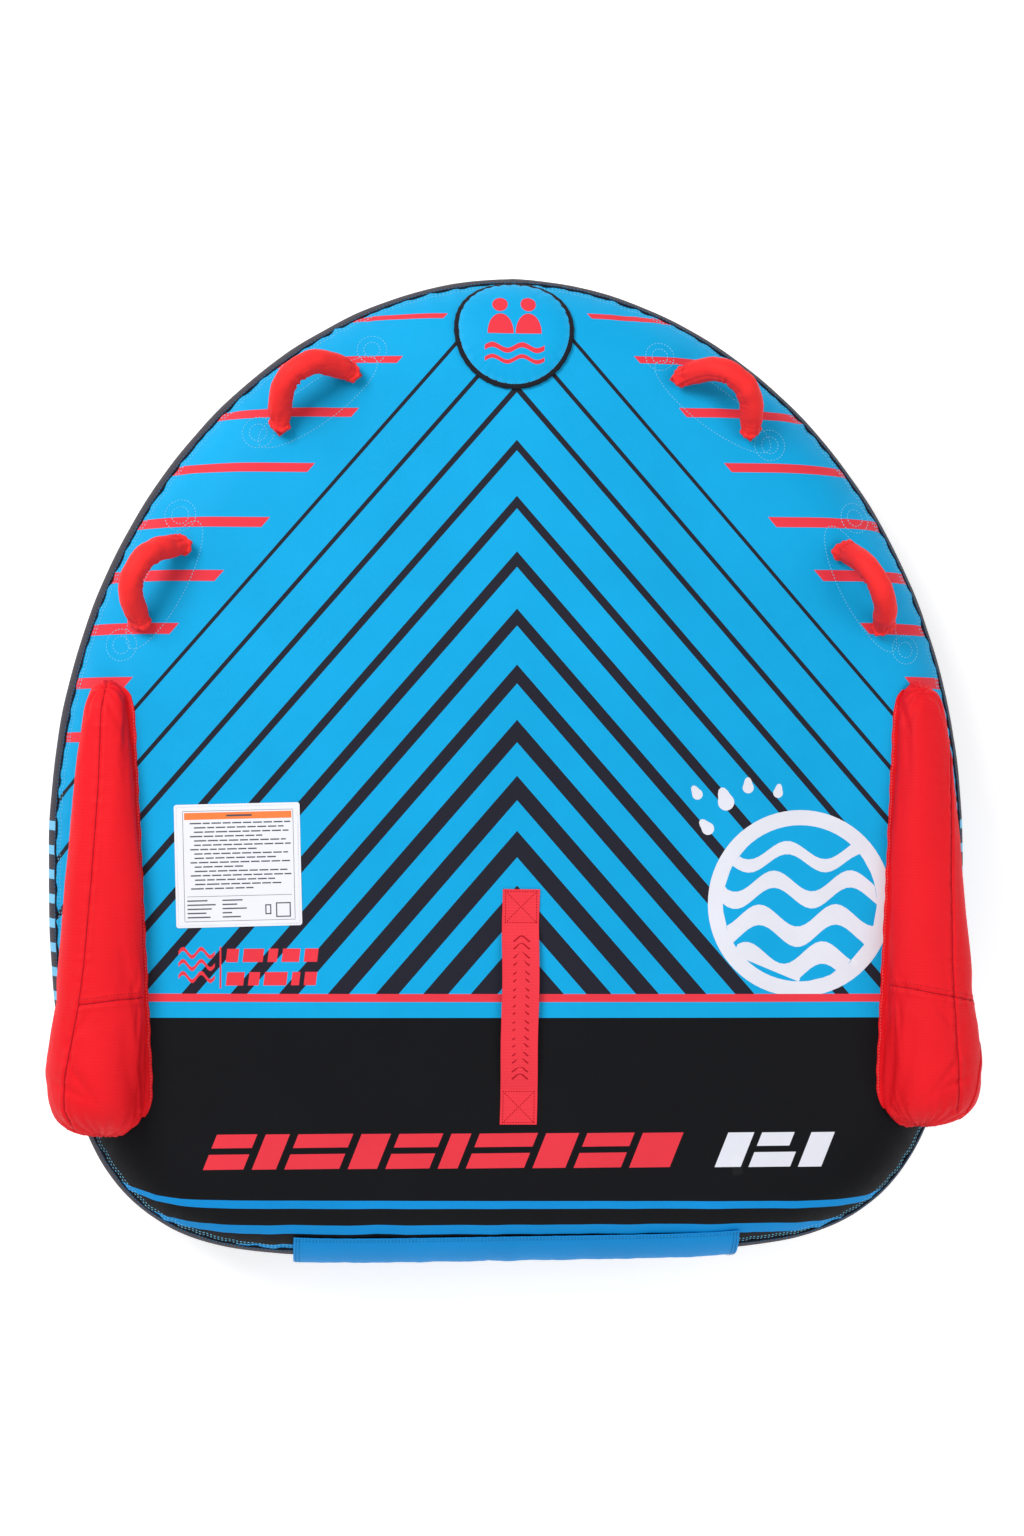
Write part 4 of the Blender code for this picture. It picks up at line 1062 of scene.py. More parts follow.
# Across the strap: where its columns of points are, and how much each stands out of the weave.
STRAP_COLUMNS = (-1.0, -0.985, -0.94, -0.88, -0.6, -0.3, 0.0, 0.3, 0.6, 0.88, 0.94, 0.985, 1.0)
STRAP_EDGE = (-0.0002, 0.0004, 0.0004, 0.0, 0.0, 0.0, 0.0, 0.0, 0.0, 0.0, 0.0004, 0.0004, -0.0002)


def turned_plan(centre, turn):
    """Mapping from a piece's own flat coordinates to the deck plan."""
    c, s = math.cos(turn), math.sin(turn)

    def place(u, v):
        return np.stack([centre[0] + u * c - v * s, centre[1] + u * s + v * c], -1)

    return place


def label_prints():
    """Frame, orange header, rows of blank bars in place of text, a rule and two empty frames."""
    prints = []

    def bar(*corners, slot=2):
        prints.append((slot, [box_corners(*corners)], []))

    left, right, top_line, low_line, rule = -0.0810, 0.0835, 0.0815, -0.0825, 0.0007
    bar(left, top_line, right, top_line + rule)
    bar(left, low_line - rule, right, low_line)
    bar(left, low_line + rule, left + rule, top_line - rule)
    bar(right - rule, low_line + rule, right, top_line - rule)
    left, right = left + 0.0025, right - 0.0025
    bar(left, 0.0690, right, 0.0795, slot=1)
    bar(-0.016, 0.0730, 0.022, 0.0758)
    left, right = left + 0.002, right - 0.002
    v = 0.0625
    for index, share in enumerate(LABEL_ROWS):
        x = left + (0.012 if index % 3 else 0.006)
        end = x + (right - x) * share
        while x < end - 0.006:
            word = 0.010 + 0.009 * (0.5 + 0.5 * math.sin(index * 3.7 + x * 410))
            bar(x, v, min(x + word, end), v + 0.0020)
            x += word + 0.0022
        v -= 0.0065
    bar(left, -0.0460, right, -0.0453)
    for row, (first, second) in enumerate(LABEL_COLUMNS):
        y = -0.0530 - row * 0.0062
        bar(left, y, left + first, y + 0.0020)
        bar(left + 0.052, y, left + second, y + 0.0020)
    for u, v, span, rise in ((right - 0.024, -0.0790, 0.022, 0.022), (right - 0.040, -0.0745, 0.009, 0.015)):
        outer, inner = (box_corners(u + a, v + a, u + span - a, v + rise - a) for a in (0.0, 0.0018))
        prints.append((2, [outer], [inner]))
    return prints


def build_label():
    """Blank printed label sewn on the deck, one corner lifting a little."""
    low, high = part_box("label_patch")
    wide, tall = LABEL_SIZE
    place = turned_plan(((low.x + high.x) / 2, (low.y + high.y) / 2), math.radians(1.3))
    radius, border = 0.004, []
    for sx, sy, start in ((1, 1, 0), (-1, 1, 90), (-1, -1, 180), (1, -1, 270)):
        for step in range(5):
            t = math.radians(start + 22.5 * step)
            border.append((sx * (wide / 2 - radius) + radius * math.cos(t),
                           sy * (tall / 2 - radius) + radius * math.sin(t)))
    grid = staggered((-wide / 2, -tall / 2), (wide / 2, tall / 2), 0.008)
    fill = grid[(np.abs(grid[:, 0]) < wide / 2 - 0.003) & (np.abs(grid[:, 1]) < tall / 2 - 0.003)]
    flat, triangles, slots = printed_sheet([border], label_prints(), fill, 0.0080, clear=0.12)
    lift = 0.0010 + 0.0004 * np.sin(flat[:, 0] * 48 + 0.6) * np.sin(flat[:, 1] * 39)
    lift = lift + 0.0022 * np.clip((flat[:, 0] + flat[:, 1] - 0.155) / 0.03, 0, 1) ** 2
    top, normals = skin(place(flat[:, 0], flat[:, 1]), lift)
    label = two_sided("label_sheet", top, normals, 0.0005, triangles, slots,
                      ["label", "label_orange", "label_grey"], slot="label_film")
    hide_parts("label_patch")
    u, v = wide / 2 - 0.0035, tall / 2 - 0.0035
    run = spaced(box_corners(-u, -v, u, v), 0.0045, True)
    path, normals = skin(place(run[:, 0], run[:, 1]), 0.0014)
    stitches("label_stitches", [(path, normals, 0.0045, True)], "label", slot="label_film")


def strap_lift(v):
    """How far the strap's free middle stands off the deck."""
    share = np.abs(v) / 0.125
    return np.where(share >= 1, 0.0, 0.010 * (1 - np.minimum(share, 1.0) ** 4))


def build_strap():
    """Boarding strap: woven webbing, flat sewn ends with boxed crosses and a plain raised motif."""
    place = turned_plan(STRAP_AT, math.radians(-0.7))
    y = np.concatenate([np.linspace(-0.1825, -0.235, 12), np.linspace(-0.24, -0.48, 44),
                        np.linspace(-0.485, -0.5375, 12)])
    v, u = np.meshgrid(y - STRAP_AT[1], np.array(STRAP_COLUMNS) * STRAP_HALF, indexing="ij")
    foot, normals = skin(place(u + 0.0006 * np.sin(v * 37 + 0.4), v).reshape(-1, 2), 0.0)
    rise = strap_lift(v)
    curl = 0.0007 * np.cos(u / STRAP_HALF * math.pi) * np.clip(rise / 0.01, 0, 1)
    lift = (rise + np.array(STRAP_EDGE)[None] + STRAP_FACE + curl).reshape(-1)
    points, faces = slab(foot + normals * lift[:, None], foot + normals * (lift - 0.0019)[:, None], *u.shape,
                         flip=True)
    strap = piece("boarding_strap_webbing", points, faces, ["strap"], slot="red_webbing")
    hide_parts("boarding_strap")

    def over(line, extra):
        point, normal = skin(place(line[:, 0], line[:, 1]), 0.0)
        return point + normal * (strap_lift(line[:, 1]) + STRAP_FACE + extra)[:, None], normal

    rows = []
    w = STRAP_HALF - 0.0045
    for v0, v1 in ((0.1745, 0.1275), (-0.1275, -0.1745)):
        for line, closed in ((box_corners(-w, v0, w, v1), True), ([(-w, v0), (w, v1)], False),
                             ([(w, v0), (-w, v1)], False)):
            rows.append((*over(spaced(line, 0.0042, closed), 0.0002), 0.0042, closed))
    stitches("boarding_strap_stitches", rows, "thread_red", slot="red_webbing")

    parts = []
    arc = np.stack([np.linspace(-0.011, 0.013, 9), 0.0045 * np.cos(np.linspace(-2.6, 2.6, 9))], 1)
    for index in range(9):
        for shift in (-0.008, 0.003):
            path, normals = over(arc + (0.0, 0.100 - index * 0.0245 + shift), 0.0)
            profile = [(-0.0016, -0.0004), (-0.0010, 0.00045), (0.0010, 0.00045), (0.0016, -0.0004)]
            parts.append(ribbon(path, normals, profile))
    points, faces = gather(parts)
    piece("boarding_strap_motif", points, faces, ["thread_red"], slot="red_webbing")


# ---------------------------------------------------------------- bolsters

BOLSTER_FRONT_Y = 0.131
BOLSTER_TAIL_Y = -0.553
BOLSTER_REF_Y = -0.44
BOLSTER_MIDDLE_Y = (BOLSTER_FRONT_Y + BOLSTER_TAIL_Y) / 2
BOLSTER_SWAY = 0.006
BOLSTER_POWER = 2.4
BOLSTER_SLACK = 0.0050


def bolster_size(y):
    """Middle, half width and rise of a bolster at a y; both taper to nothing at its two ends."""
    ahead = y - BOLSTER_REF_Y
    inner = 0.551 + 0.0475 * ahead
    outer = 0.672 - 0.0475 * ahead
    rise = 0.100 - 0.108 * ahead
    drift = 0.008 * (min(ahead, 0.0) / (BOLSTER_TAIL_Y - BOLSTER_REF_Y)) ** 2
    taper = 1.0
    for end, length in ((BOLSTER_FRONT_Y - y, 0.055), (y - BOLSTER_TAIL_Y, 0.088)):
        if end < length:
            taper *= max(1 - (1 - max(end, 0.0) / length) ** BOLSTER_POWER, 0.0) ** (1 / BOLSTER_POWER)
    return (inner + outer) / 2 + drift, ((outer - inner) / 2 + drift) * taper, rise * taper


def bolster_ring(side, y):
    """Closed section: the arch from the inner foot to the outer one, then back along the deck."""
    length = BOLSTER_FRONT_Y - BOLSTER_TAIL_Y
    station = BOLSTER_MIDDLE_Y + (y - BOLSTER_MIDDLE_Y) * (1 - 2 * BOLSTER_SLACK / length)
    centre, half, rise = bolster_size(y)
    half, rise = max(half - BOLSTER_SLACK, 0.0005), max(rise - BOLSTER_SLACK, 0.0005)
    lean = math.radians(30 + 22 * (BOLSTER_FRONT_Y - y) / length)
    power = 2 / BOLSTER_POWER
    turn = np.linspace(0, math.pi, 21)
    across = -np.sign(np.cos(turn)) * np.abs(np.cos(turn)) ** power
    up = rise * np.maximum(np.sin(turn), 0.0) ** power
    foot, _ = skin(np.stack([centre + half * across, np.full(21, station)], 1), 0.0022, 0.0)
    tilt = lean * (across + 1) / 2
    foot[:, 0] += np.sin(tilt) * up
    foot[:, 2] += np.cos(tilt) * up
    back = np.linspace(foot[-1, 0], foot[0, 0], 9)[1:-1]
    under, _ = skin(np.stack([back, np.full(7, station)], 1), 0.0022, 0.0)
    return np.vstack([foot, under]) * (side, 1, 1)


def bake_modifiers(obj):
    """Replace an object's mesh by what its modifiers make of it."""
    graph = bpy.context.evaluated_depsgraph_get()
    mesh = bpy.data.meshes.new_from_object(obj.evaluated_get(graph))
    obj.modifiers.clear()
    obj.data = mesh


def face_out(obj):
    """Turn every face of a closed mesh outwards."""
    bm = bmesh.new()
    bm.from_mesh(obj.data)
    bmesh.ops.recalc_face_normals(bm, faces=bm.faces)
    bm.to_mesh(obj.data)
    bm.free()


def coordinates(mesh):
    """Vertex places as an array."""
    co = np.zeros(len(mesh.vertices) * 3, np.float32)
    mesh.vertices.foreach_get("co", co)
    return co.reshape(-1, 3).astype(float)


def vertex_normals(mesh):
    """Vertex normals as an array."""
    no = np.zeros(len(mesh.vertices) * 3, np.float32)
    mesh.vertex_normals.foreach_get("vector", no)
    return no.reshape(-1, 3).astype(float)


def put(mesh, points):
    """Move a mesh's vertices."""
    mesh.vertices.foreach_set("co", points.astype(np.float32).ravel())
    mesh.update()


def weigh(obj, name, weights):
    """Vertex group of the points that weigh more than nothing."""
    group = obj.vertex_groups.new(name=name)
    for index in np.where(weights > 0.01)[0]:
        group.add([int(index)], float(weights[index]), "REPLACE")


CLOTH = {
    "quality": 6, "mass": 0.25, "tension_stiffness": 22, "compression_stiffness": 22, "shear_stiffness": 8,
    "bending_stiffness": 0.6, "use_pressure": True, "vertex_group_mass": "pinned",
    "vertex_group_shrink": "tight", "shrink_min": 0.0, "shrink_max": 0.16,
}


def inflate(obj, voxel, pressure, cap, pinned, shrink, steps=20):
    """Remesh, let cloth under pressure swell from a small start, cap the movement, subdivide once."""
    remesh = obj.modifiers.new("remesh", "REMESH")
    remesh.mode = "VOXEL"
    remesh.voxel_size = voxel
    bake_modifiers(obj)
    start = coordinates(obj.data)
    weigh(obj, "pinned", pinned(start))
    weigh(obj, "tight", shrink(start))
    cloth = obj.modifiers.new("cloth", "CLOTH")
    for key, value in CLOTH.items():
        setattr(cloth.settings, key, value)
    cloth.settings.uniform_pressure_force = pressure
    cloth.settings.effector_weights.gravity = 0.0
    cloth.point_cache.frame_start, cloth.point_cache.frame_end = 1, steps
    scene = bpy.context.scene
    for step in range(1, steps + 1):
        scene.frame_set(step)
    bake_modifiers(obj)
    scene.frame_set(1)
    moved = coordinates(obj.data) - start
    share = np.minimum(1.0, cap / np.maximum(np.linalg.norm(moved, axis=1), 1e-9))
    put(obj.data, start + moved * share[:, None])
    obj.vertex_groups.clear()
    smoother = obj.modifiers.new("subdivision", "SUBSURF")
    smoother.levels = smoother.render_levels = 1
    bake_modifiers(obj)


def dress(obj, material, body):
    """Material and body of a finished pad."""
    obj.data.materials.clear()
    obj.data.materials.append(M[material])
    obj.data.shade_smooth()
    settle(obj, body)


# Each bolster's long seam and cross seam, as plan points from the nose end and from one edge.
BOLSTER_SEAMS = {
    "left": (((-0.6103, 0.1297), (-0.6161, 0.0805), (-0.6183, -0.0247), (-0.6269, -0.161), (-0.6362, -0.2866),
              (-0.6433, -0.3458), (-0.6527, -0.3957), (-0.6640, -0.453), (-0.6654, -0.4972), (-0.6526, -0.5333)),
             ((-0.6440, -0.3446), (-0.6404, -0.3440), (-0.5905, -0.3380), (-0.5300, -0.3383))),
    "right": (((0.6640, 0.0800), (0.6630, 0.0423), (0.6580, -0.0929), (0.6540, -0.1654), (0.6520, -0.2945),
               (0.6530, -0.3421), (0.6560, -0.4202), (0.6607, -0.5166)),
              ((0.5300, -0.3240), (0.5488, -0.327), (0.5904, -0.331), (0.6504, -0.3421), (0.7050, -0.3560))),
}
CROSS_Y = -0.343
# Tucks in a bolster's cloth: y, x, how far they reach and the way they run.
BOLSTER_TUCKS = ((-0.455, 0.640, 0.040, 0.9), (-0.470, 0.655, 0.030, 0.4), (-0.420, 0.655, 0.026, 1.4),
                 (-0.375, 0.640, 0.030, 2.2), (0.085, 0.600, 0.030, 1.1))


def on_mesh(tree, line, pitch):
    """A plan polyline dropped from above onto a mesh."""
    flat = spaced(np.array(line, float), pitch)
    points, normals = [], []
    for x, y in flat:
        hit, normal, _, _ = tree.ray_cast(Vector((x, y, 0.6)), Vector((0, 0, -1)))
        if hit is not None and normal.z > 0.02:
            points.append(tuple(hit))
            normals.append(tuple(normal))
    return np.array(points), np.array(normals)


def tree_of(mesh):
    """Search tree over a mesh's faces."""
    co = coordinates(mesh)
    return BVHTree.FromPolygons([tuple(p) for p in co], [tuple(p.vertices) for p in mesh.polygons])


def distance_to(path, points):
    """Distance of each point to a path, and how far along the path its nearest sample is."""
    tree = point_tree(path)
    found = [tree.find(p)[1:] for p in points]
    return np.array([f[1] for f in found]), run_along(path)[[f[0] for f in found]]


def wrinkle_bolster(points, seams, side):
    """How far each point of a swollen bolster is pushed out: seams, gathered ends, tucks and slow swells."""
    push = np.zeros(len(points))
    for path, deep, period, seed in ((seams[0], 0.0016, 0.026, 0.3), (seams[1], 0.0022, 0.017, 1.2)):
        away, run = distance_to(path, points)
        push -= deep * np.exp(-(away / 0.0032) ** 2)
        push += 0.0009 * np.exp(-(away / 0.012) ** 2) * waves(run, period, seed + side)
        push += 0.0011 * (np.exp(-((away - 0.006) / 0.004) ** 2))
    x, y, z = points.T
    tail = np.exp(-((y - BOLSTER_TAIL_Y - 0.012) / 0.030) ** 2)
    spin = np.arctan2(z - 0.27, x - bolster_size(-0.50)[0] * side)
    push += 0.0022 * tail * np.sin(spin * 15 + 1.4 * np.sin(spin * 4 + side))
    front = np.exp(-((y - BOLSTER_FRONT_Y + 0.004) / 0.022) ** 2)
    push += 0.0016 * front * np.sin(spin * 13 + 1.1 * side)
    for dy, dx, reach, turn in BOLSTER_TUCKS:
        u = (x * side - dx) * math.cos(turn) + (y - dy) * math.sin(turn)
        v = -(x * side - dx) * math.sin(turn) + (y - dy) * math.cos(turn)
        push -= 0.0022 * np.exp(-(u / reach) ** 2 - (v / 0.0055) ** 2) * (z > 0.26)
    push += 0.0009 * np.sin(y * 34 + 2 * side) * np.sin(x * 61 + 1) * (z > 0.26)
    return push


def above_deck(points):
    """Height of points over the smooth deck."""
    return points[:, 2] - skin(points[:, :2], 0.0, 0.0)[0][:, 2]


def build_bolster(name, side):
    """Swollen bolster with its long and its cross seam and a stitch row."""
    stations = [BOLSTER_FRONT_Y - 0.055 * (1 - math.cos(t)) for t in np.linspace(0.12, math.pi / 2, 7)]
    stations += list(np.linspace(stations[-1], BOLSTER_TAIL_Y + 0.100, 24))[1:]
    turns = np.linspace(0, math.pi / 2 - 0.10, 10)[1:]
    stations += [BOLSTER_TAIL_Y + 0.100 * (1 - math.sin(t)) for t in turns]
    rings = [bolster_ring(side, y) for y in stations]
    columns = len(rings[0])
    last = (len(rings) - 1) * columns
    faces = grid_faces(len(rings), columns, wrap=True, flip=side > 0)
    faces += [tuple(range(columns))[::-1], tuple(range(last, last + columns))]
    pad = piece(f"{name}_bolster_pad", np.vstack(rings), faces, ["bolster"], keep=True)
    face_out(pad)

    def pinned(points):
        return np.clip(1.6 - above_deck(points) / 0.006, 0.0, 1.0)

    def shrink(points):
        tight = np.exp(-((points[:, 1] - CROSS_Y) / 0.007) ** 2)
        tail = np.exp(-((points[:, 1] - BOLSTER_TAIL_Y) / 0.030) ** 2)
        return np.clip(tight + 0.7 * tail, 0, 1)

    inflate(pad, 0.0056, 4.2, 0.0095, pinned, shrink)

    # The swelling shortens it: stretch it back to its length, and set it down on the deck again.
    mesh, middle = pad.data, BOLSTER_MIDDLE_Y
    co = coordinates(mesh)
    reach = np.where(co[:, 1] > middle, (BOLSTER_FRONT_Y - middle) / (co[:, 1].max() - middle),
                     (middle - BOLSTER_TAIL_Y) / (middle - co[:, 1].min()))
    above = above_deck(co)
    before = co[:, 2] - above
    co[:, 1] = middle + (co[:, 1] - middle) * reach
    co[:, 0] += BOLSTER_SWAY * np.clip(above / 0.03, 0.0, 1.0)
    after = co[:, 2] - above_deck(co)
    co[:, 2] += np.clip(after - before, -0.003, 0.003)
    put(mesh, co)

    seams = BOLSTER_SEAMS[name]
    tree = tree_of(mesh)
    points, normals = coordinates(mesh), vertex_normals(mesh)
    push = wrinkle_bolster(points, [on_mesh(tree, line, 0.003)[0] for line in seams], side)
    free = np.clip((above_deck(points) - 0.003) / 0.008, 0.0, 1.0)
    put(mesh, points + normals * (push * free)[:, None])
    dress(pad, "bolster", "tube")
    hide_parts(f"{name}_bolster_cover", f"{name}_bolster_tail_cap", f"{name}_bolster_core")

    tree = tree_of(mesh)
    b = np.linspace(0, 2 * math.pi, 6, endpoint=False)
    cord = np.stack([0.0010 * np.cos(b), 0.0008 * np.sin(b)], 1)
    parts = []
    for line in seams:
        path, normals = on_mesh(tree, line, 0.0035)
        normals = unit(normals + 0.5 * (np.roll(normals, 1, 0) + np.roll(normals, -1, 0)))
        across = unit(np.cross(tangents(path), normals))
        parts.append(sweep(path + normals * 0.0001, across, normals, cord))
    points, faces = gather(parts)
    piece(f"{name}_bolster_seam", points, faces, ["thread_red"], slot="red_nylon")
    shifted = [(x, y + 0.0075) for x, y in seams[1]]
    rows = [(*on_mesh(tree, shifted, 0.0048), 0.0048, False)]
    stitches(f"{name}_bolster_stitches", rows, "thread_red", slot="red_nylon")


HEM_WIDTH = 0.0066
# Across the hem, in widths: where its columns of points are, and how far they stand off the deck.
HEM_COLUMNS = (0.0, 0.09, 0.5, 1.1, 1.7, 2.6)
HEM_LIFTS = (0.0004, 0.0022, 0.0023, 0.0022, 0.0026, 0.0026)


def build_hem(name, side):
    """Flat sewn flange along the bolster's inner foot."""
    y = np.linspace(0.1200, -0.520, 150)
    foot = np.array([bolster_size(value)[0] - bolster_size(value)[1] for value in y])
    foot = np.minimum(foot, 0.605) + side * BOLSTER_SWAY * 0.5 + 0.004
    width = HEM_WIDTH * np.clip((0.128 - y) / 0.02, 0.15, 1) * np.clip((y + 0.532) / 0.03, 0.15, 1)
    ripple = 0.0005 * np.sin(y * 210 + np.sin(y * 37)) + 0.0004 * np.sin(y * 88)
    columns, lifts = np.array(HEM_COLUMNS), np.array(HEM_LIFTS)
    grid_x = side * (foot[:, None] - width[:, None] * (1 - columns[None]) + ripple[:, None])
    grid_y = np.repeat(y[:, None], len(columns), 1)
    swell = 0.0006 * np.sin(y * 150 + 1.5 * np.sin(y * 23))[:, None] * np.sin(columns * math.pi * 0.5)[None]
    flat = np.stack([grid_x, grid_y], -1).reshape(-1, 2)
    top, _ = skin(flat, (lifts[None] + swell).reshape(-1))
    under, _ = skin(flat, 0.0003)
    rows, cols = grid_x.shape
    count = rows * cols
    faces = grid_faces(rows, cols, flip=side > 0) + grid_faces(rows, cols, start=count, flip=side < 0)
    for a in range(0, count - cols, cols):
        quad = (a, a + count, a + cols + count, a + cols)
        faces.append(quad if side > 0 else quad[::-1])
    hem = piece(f"{name}_bolster_flange", np.vstack([top, under]), faces, ["bolster"], slot="red_nylon")
    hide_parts(f"{name}_bolster_hem")
    line = np.stack([side * (foot - width * 0.60 + ripple), y], 1)[6:-6]
    rows = [deck_run(line, 0.0050, offset=0.0027)]
    stitches(f"{name}_bolster_flange_stitches", rows, "thread_light_red", slot="red_nylon")


# ---------------------------------------------------------------- grab handles

HANDLE_ENDS = {"front": ((0.244, 0.590), (0.354, 0.508)), "rear": ((0.496, 0.333), (0.559, 0.214))}
# Each handle's lean outward in degrees, and where along it its top is creased.
HANDLES = {("front", "left"): (40.0, 0.56), ("front", "right"): (34.0, 0.46), ("rear", "left"): (31.0, 0.52),
           ("rear", "right"): (5.0, 0.44)}
HANDLE_HEIGHT = 0.074
HANDLE_POWER = 2.6
SLEEVE_FOOT = 0.0045
SLEEVE_CLEAR = 0.0024
SLEEVE_RADIUS = 0.0190
SLEEVE_END = (0.0208, 0.0135)
SLEEVE_RINGS, SLEEVE_SIDES = 61, 28
LOOP_PROFILE = ((-0.0060, -0.0018), (-0.0064, 0.0), (-0.0060, 0.0018), (0.0060, 0.0018), (0.0064, 0.0),
                (0.0060, -0.0018))


def handle_frame(row, side_name):
    """Middle of a handle's sewn ends, the line between them, the way it rises and half its span."""
    side = 1.0 if side_name == "right" else -1.0
    ends, _ = skin([(side * x, y) for x, y in HANDLE_ENDS[row]], 0.004, 0.0)
    along = unit(ends[1] - ends[0])
    outward = unit(np.cross(along, (0.0, 0.0, 1.0)))
    outward *= np.sign(outward[0] * side)
    upright = unit(np.cross(along, outward))
    upright *= np.sign(upright[2])
    lean = math.radians(HANDLES[(row, side_name)][0])
    rise = upright * math.cos(lean) + outward * math.sin(lean)
    return ends.mean(0), along, rise, np.linalg.norm(ends[1] - ends[0]) / 2


def handle_line(middle, along, rise, half, foot, count):
    """Loop path between its sewn ends, steep legs and a softly cornered top, with its side and out."""
    reach = half * (1 - foot / HANDLE_HEIGHT) ** (1 / HANDLE_POWER)
    u = reach * np.sin(np.linspace(-1, 1, count) * math.pi / 2)
    away = np.abs(u / half)
    path = middle + along * u[:, None] + rise * (HANDLE_HEIGHT * (1 - away ** HANDLE_POWER))[:, None]
    slope = HANDLE_HEIGHT * HANDLE_POWER / half * np.sign(u) * away ** (HANDLE_POWER - 1)
    tangent = unit(along - rise * slope[:, None])
    across = unit(np.cross(along, rise))
    return path, np.repeat(across[None], count, 0), unit(np.cross(across, tangent))


def build_sleeve(body, path, across, out, crease_at, seed):
    """Padded sleeve, swollen and creased, flattened at its sewn ends; returns its mesh."""
    run = run_along(path)
    ends = np.clip(1.0 - np.minimum(run, run[-1] - run) / 0.030, 0.0, 1.0) ** 1.5
    wide, thin = (SLEEVE_RADIUS + (size - SLEEVE_RADIUS) * ends for size in SLEEVE_END)
    square = 1.0 - 0.35 * ends
    b = np.linspace(0, 2 * math.pi, SLEEVE_SIDES, endpoint=False)
    rings = []
    for i in range(SLEEVE_RINGS):
        u = np.sign(np.cos(b)) * np.abs(np.cos(b)) ** square[i]
        v = np.sign(np.sin(b)) * np.abs(np.sin(b)) ** square[i]
        rings.append(path[i] + across[i] * (wide[i] * u)[:, None] + out[i] * (thin[i] * v)[:, None])
    last = (SLEEVE_RINGS - 1) * SLEEVE_SIDES
    faces = grid_faces(SLEEVE_RINGS, SLEEVE_SIDES, wrap=True, flip=True)
    faces += [tuple(range(SLEEVE_SIDES)), tuple(range(last, last + SLEEVE_SIDES))[::-1]]
    pad = piece(f"{body}_pad", np.vstack(rings), faces, ["handle"], keep=True)
    face_out(pad)

    def nearest(points):
        """Distance along the sleeve and from its nearer end, and height and sideways place in its section."""
        _, at = distance_to(path, points)
        index = np.searchsorted(run, at).clip(0, len(path) - 1)
        radial = points - path[index]
        return at, np.minimum(at, run[-1] - at), (radial * out[index]).sum(1), (radial * across[index]).sum(1)

    def pinned(points):
        return np.clip(1.4 - nearest(points)[1] / 0.007, 0.0, 1.0)

    def shrink(points):
        return np.clip(-nearest(points)[2] / 0.016, 0, 1) * 0.8

    inflate(pad, 0.0036, 5.0, 0.0042, pinned, shrink, 16)
    mesh = pad.data
    co, normals = coordinates(mesh), vertex_normals(mesh)
    at, from_end, height, lateral = nearest(co)
    angle = np.arctan2(height, lateral)
    top = np.exp(-((at - run[-1] * crease_at) / 0.015) ** 2)
    depth = np.clip(0.30 - height / 0.013, 0.0, 1.3)
    crease = waves(at + 0.0025 * np.sin(angle * 2 + seed), 0.0125, seed)
    broad = np.exp(-((at - run[-1] / 2) / (run[-1] * 0.30)) ** 2)
    push = -(0.0024 * top + 0.0013 * broad) * depth * (0.5 + 0.5 * crease)
    push += 0.0009 * np.exp(-(from_end / 0.014) ** 2) * np.sin(angle * 9 + seed)
    push += 0.0009 * np.exp(-((from_end - 0.020) / 0.012) ** 2) * np.sin(lateral * 900 + seed) * (height > 0)
    push += 0.0008 * waves(at * 0.8 + 0.004 * angle, 0.031, seed + 2)
    seam_away = np.abs(np.arctan2(np.sin(angle + 0.35), np.cos(angle + 0.35))) * 0.016
    push -= 0.0010 * np.exp(-(seam_away / 0.0018) ** 2)
    co += normals * push[:, None]
    ground, facing = skin(co[:, :2], 0.0, 0.0)
    sunk = SLEEVE_CLEAR - ((co - ground) * facing).sum(1)
    put(mesh, co + facing * np.clip(sunk, 0.0, 0.02)[:, None])
    dress(pad, "handle", body)
    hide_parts(f"{body}_sleeve", f"{body}_foam")
    return mesh


def sew_sleeve_ends(body, mesh, path, across, out):
    """Stitches round the sleeve a little way in from each end."""
    tree = tree_of(mesh)
    parts = []
    for at in (9, SLEEVE_RINGS - 10):
        loop, facing = [], []
        for t in np.linspace(0, 2 * math.pi, 30, endpoint=False):
            aim = path[at] + across[at] * 0.03 * math.cos(t) + out[at] * 0.03 * math.sin(t)
            spot, normal, _, _ = tree.ray_cast(Vector(aim), Vector(path[at] - aim).normalized())
            if spot is not None:
                loop.append(spot)
                facing.append(normal)
        row = stitch_run(np.array(loop), np.array(facing), 0.0034, width=0.0010, height=0.0005, closed=True)
        parts.append(row)
    points, faces = gather(parts)
    piece(f"{body}_end_stitches", points, faces, ["thread_red"], body=body, slot="red_nylon")


def build_tabs(body, middle, along, half):
    """Webbing tabs sewn to the deck under the sleeve's two ends."""
    flat = unit(along[:2])
    cross = np.array([-flat[1], flat[0]])
    u = np.array([-1.0, -0.96, -0.6, 0.0, 0.6, 0.96, 1.0]) * 0.0100
    v = np.array([-1.0, -0.95, 0.0, 0.95, 1.0]) * 0.0085
    lift = np.outer([0.0003, 1, 1, 1.15, 1, 1, 0.0003], [0.0003, 1, 1, 1, 0.0003]) * 0.0020
    gu, gv = np.meshgrid(u, v, indexing="ij")
    rows = []
    for place, end in (("front", -1.0), ("back", 1.0)):
        spot = middle[:2] + along[:2] * half * end * 0.985
        plan = spot + gu[..., None] * flat + gv[..., None] * cross
        points, _ = skin(plan.reshape(-1, 2), lift.reshape(-1))
        tab = piece(f"{body}_tab_{place}_webbing", points, grid_faces(*gu.shape), ["tab"], slot="red_webbing")
        face_up(tab)
        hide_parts(f"{body}_tab_{place}")
        box = [spot + flat * a + cross * c for a, c in box_corners(-0.007, -0.0058, 0.007, 0.0058)]
        rows.append(deck_run(np.array(box), 0.0036, True, 0.0021))
    stitches(f"{body}_tab_stitches", rows, "thread_red", slot="red_webbing")


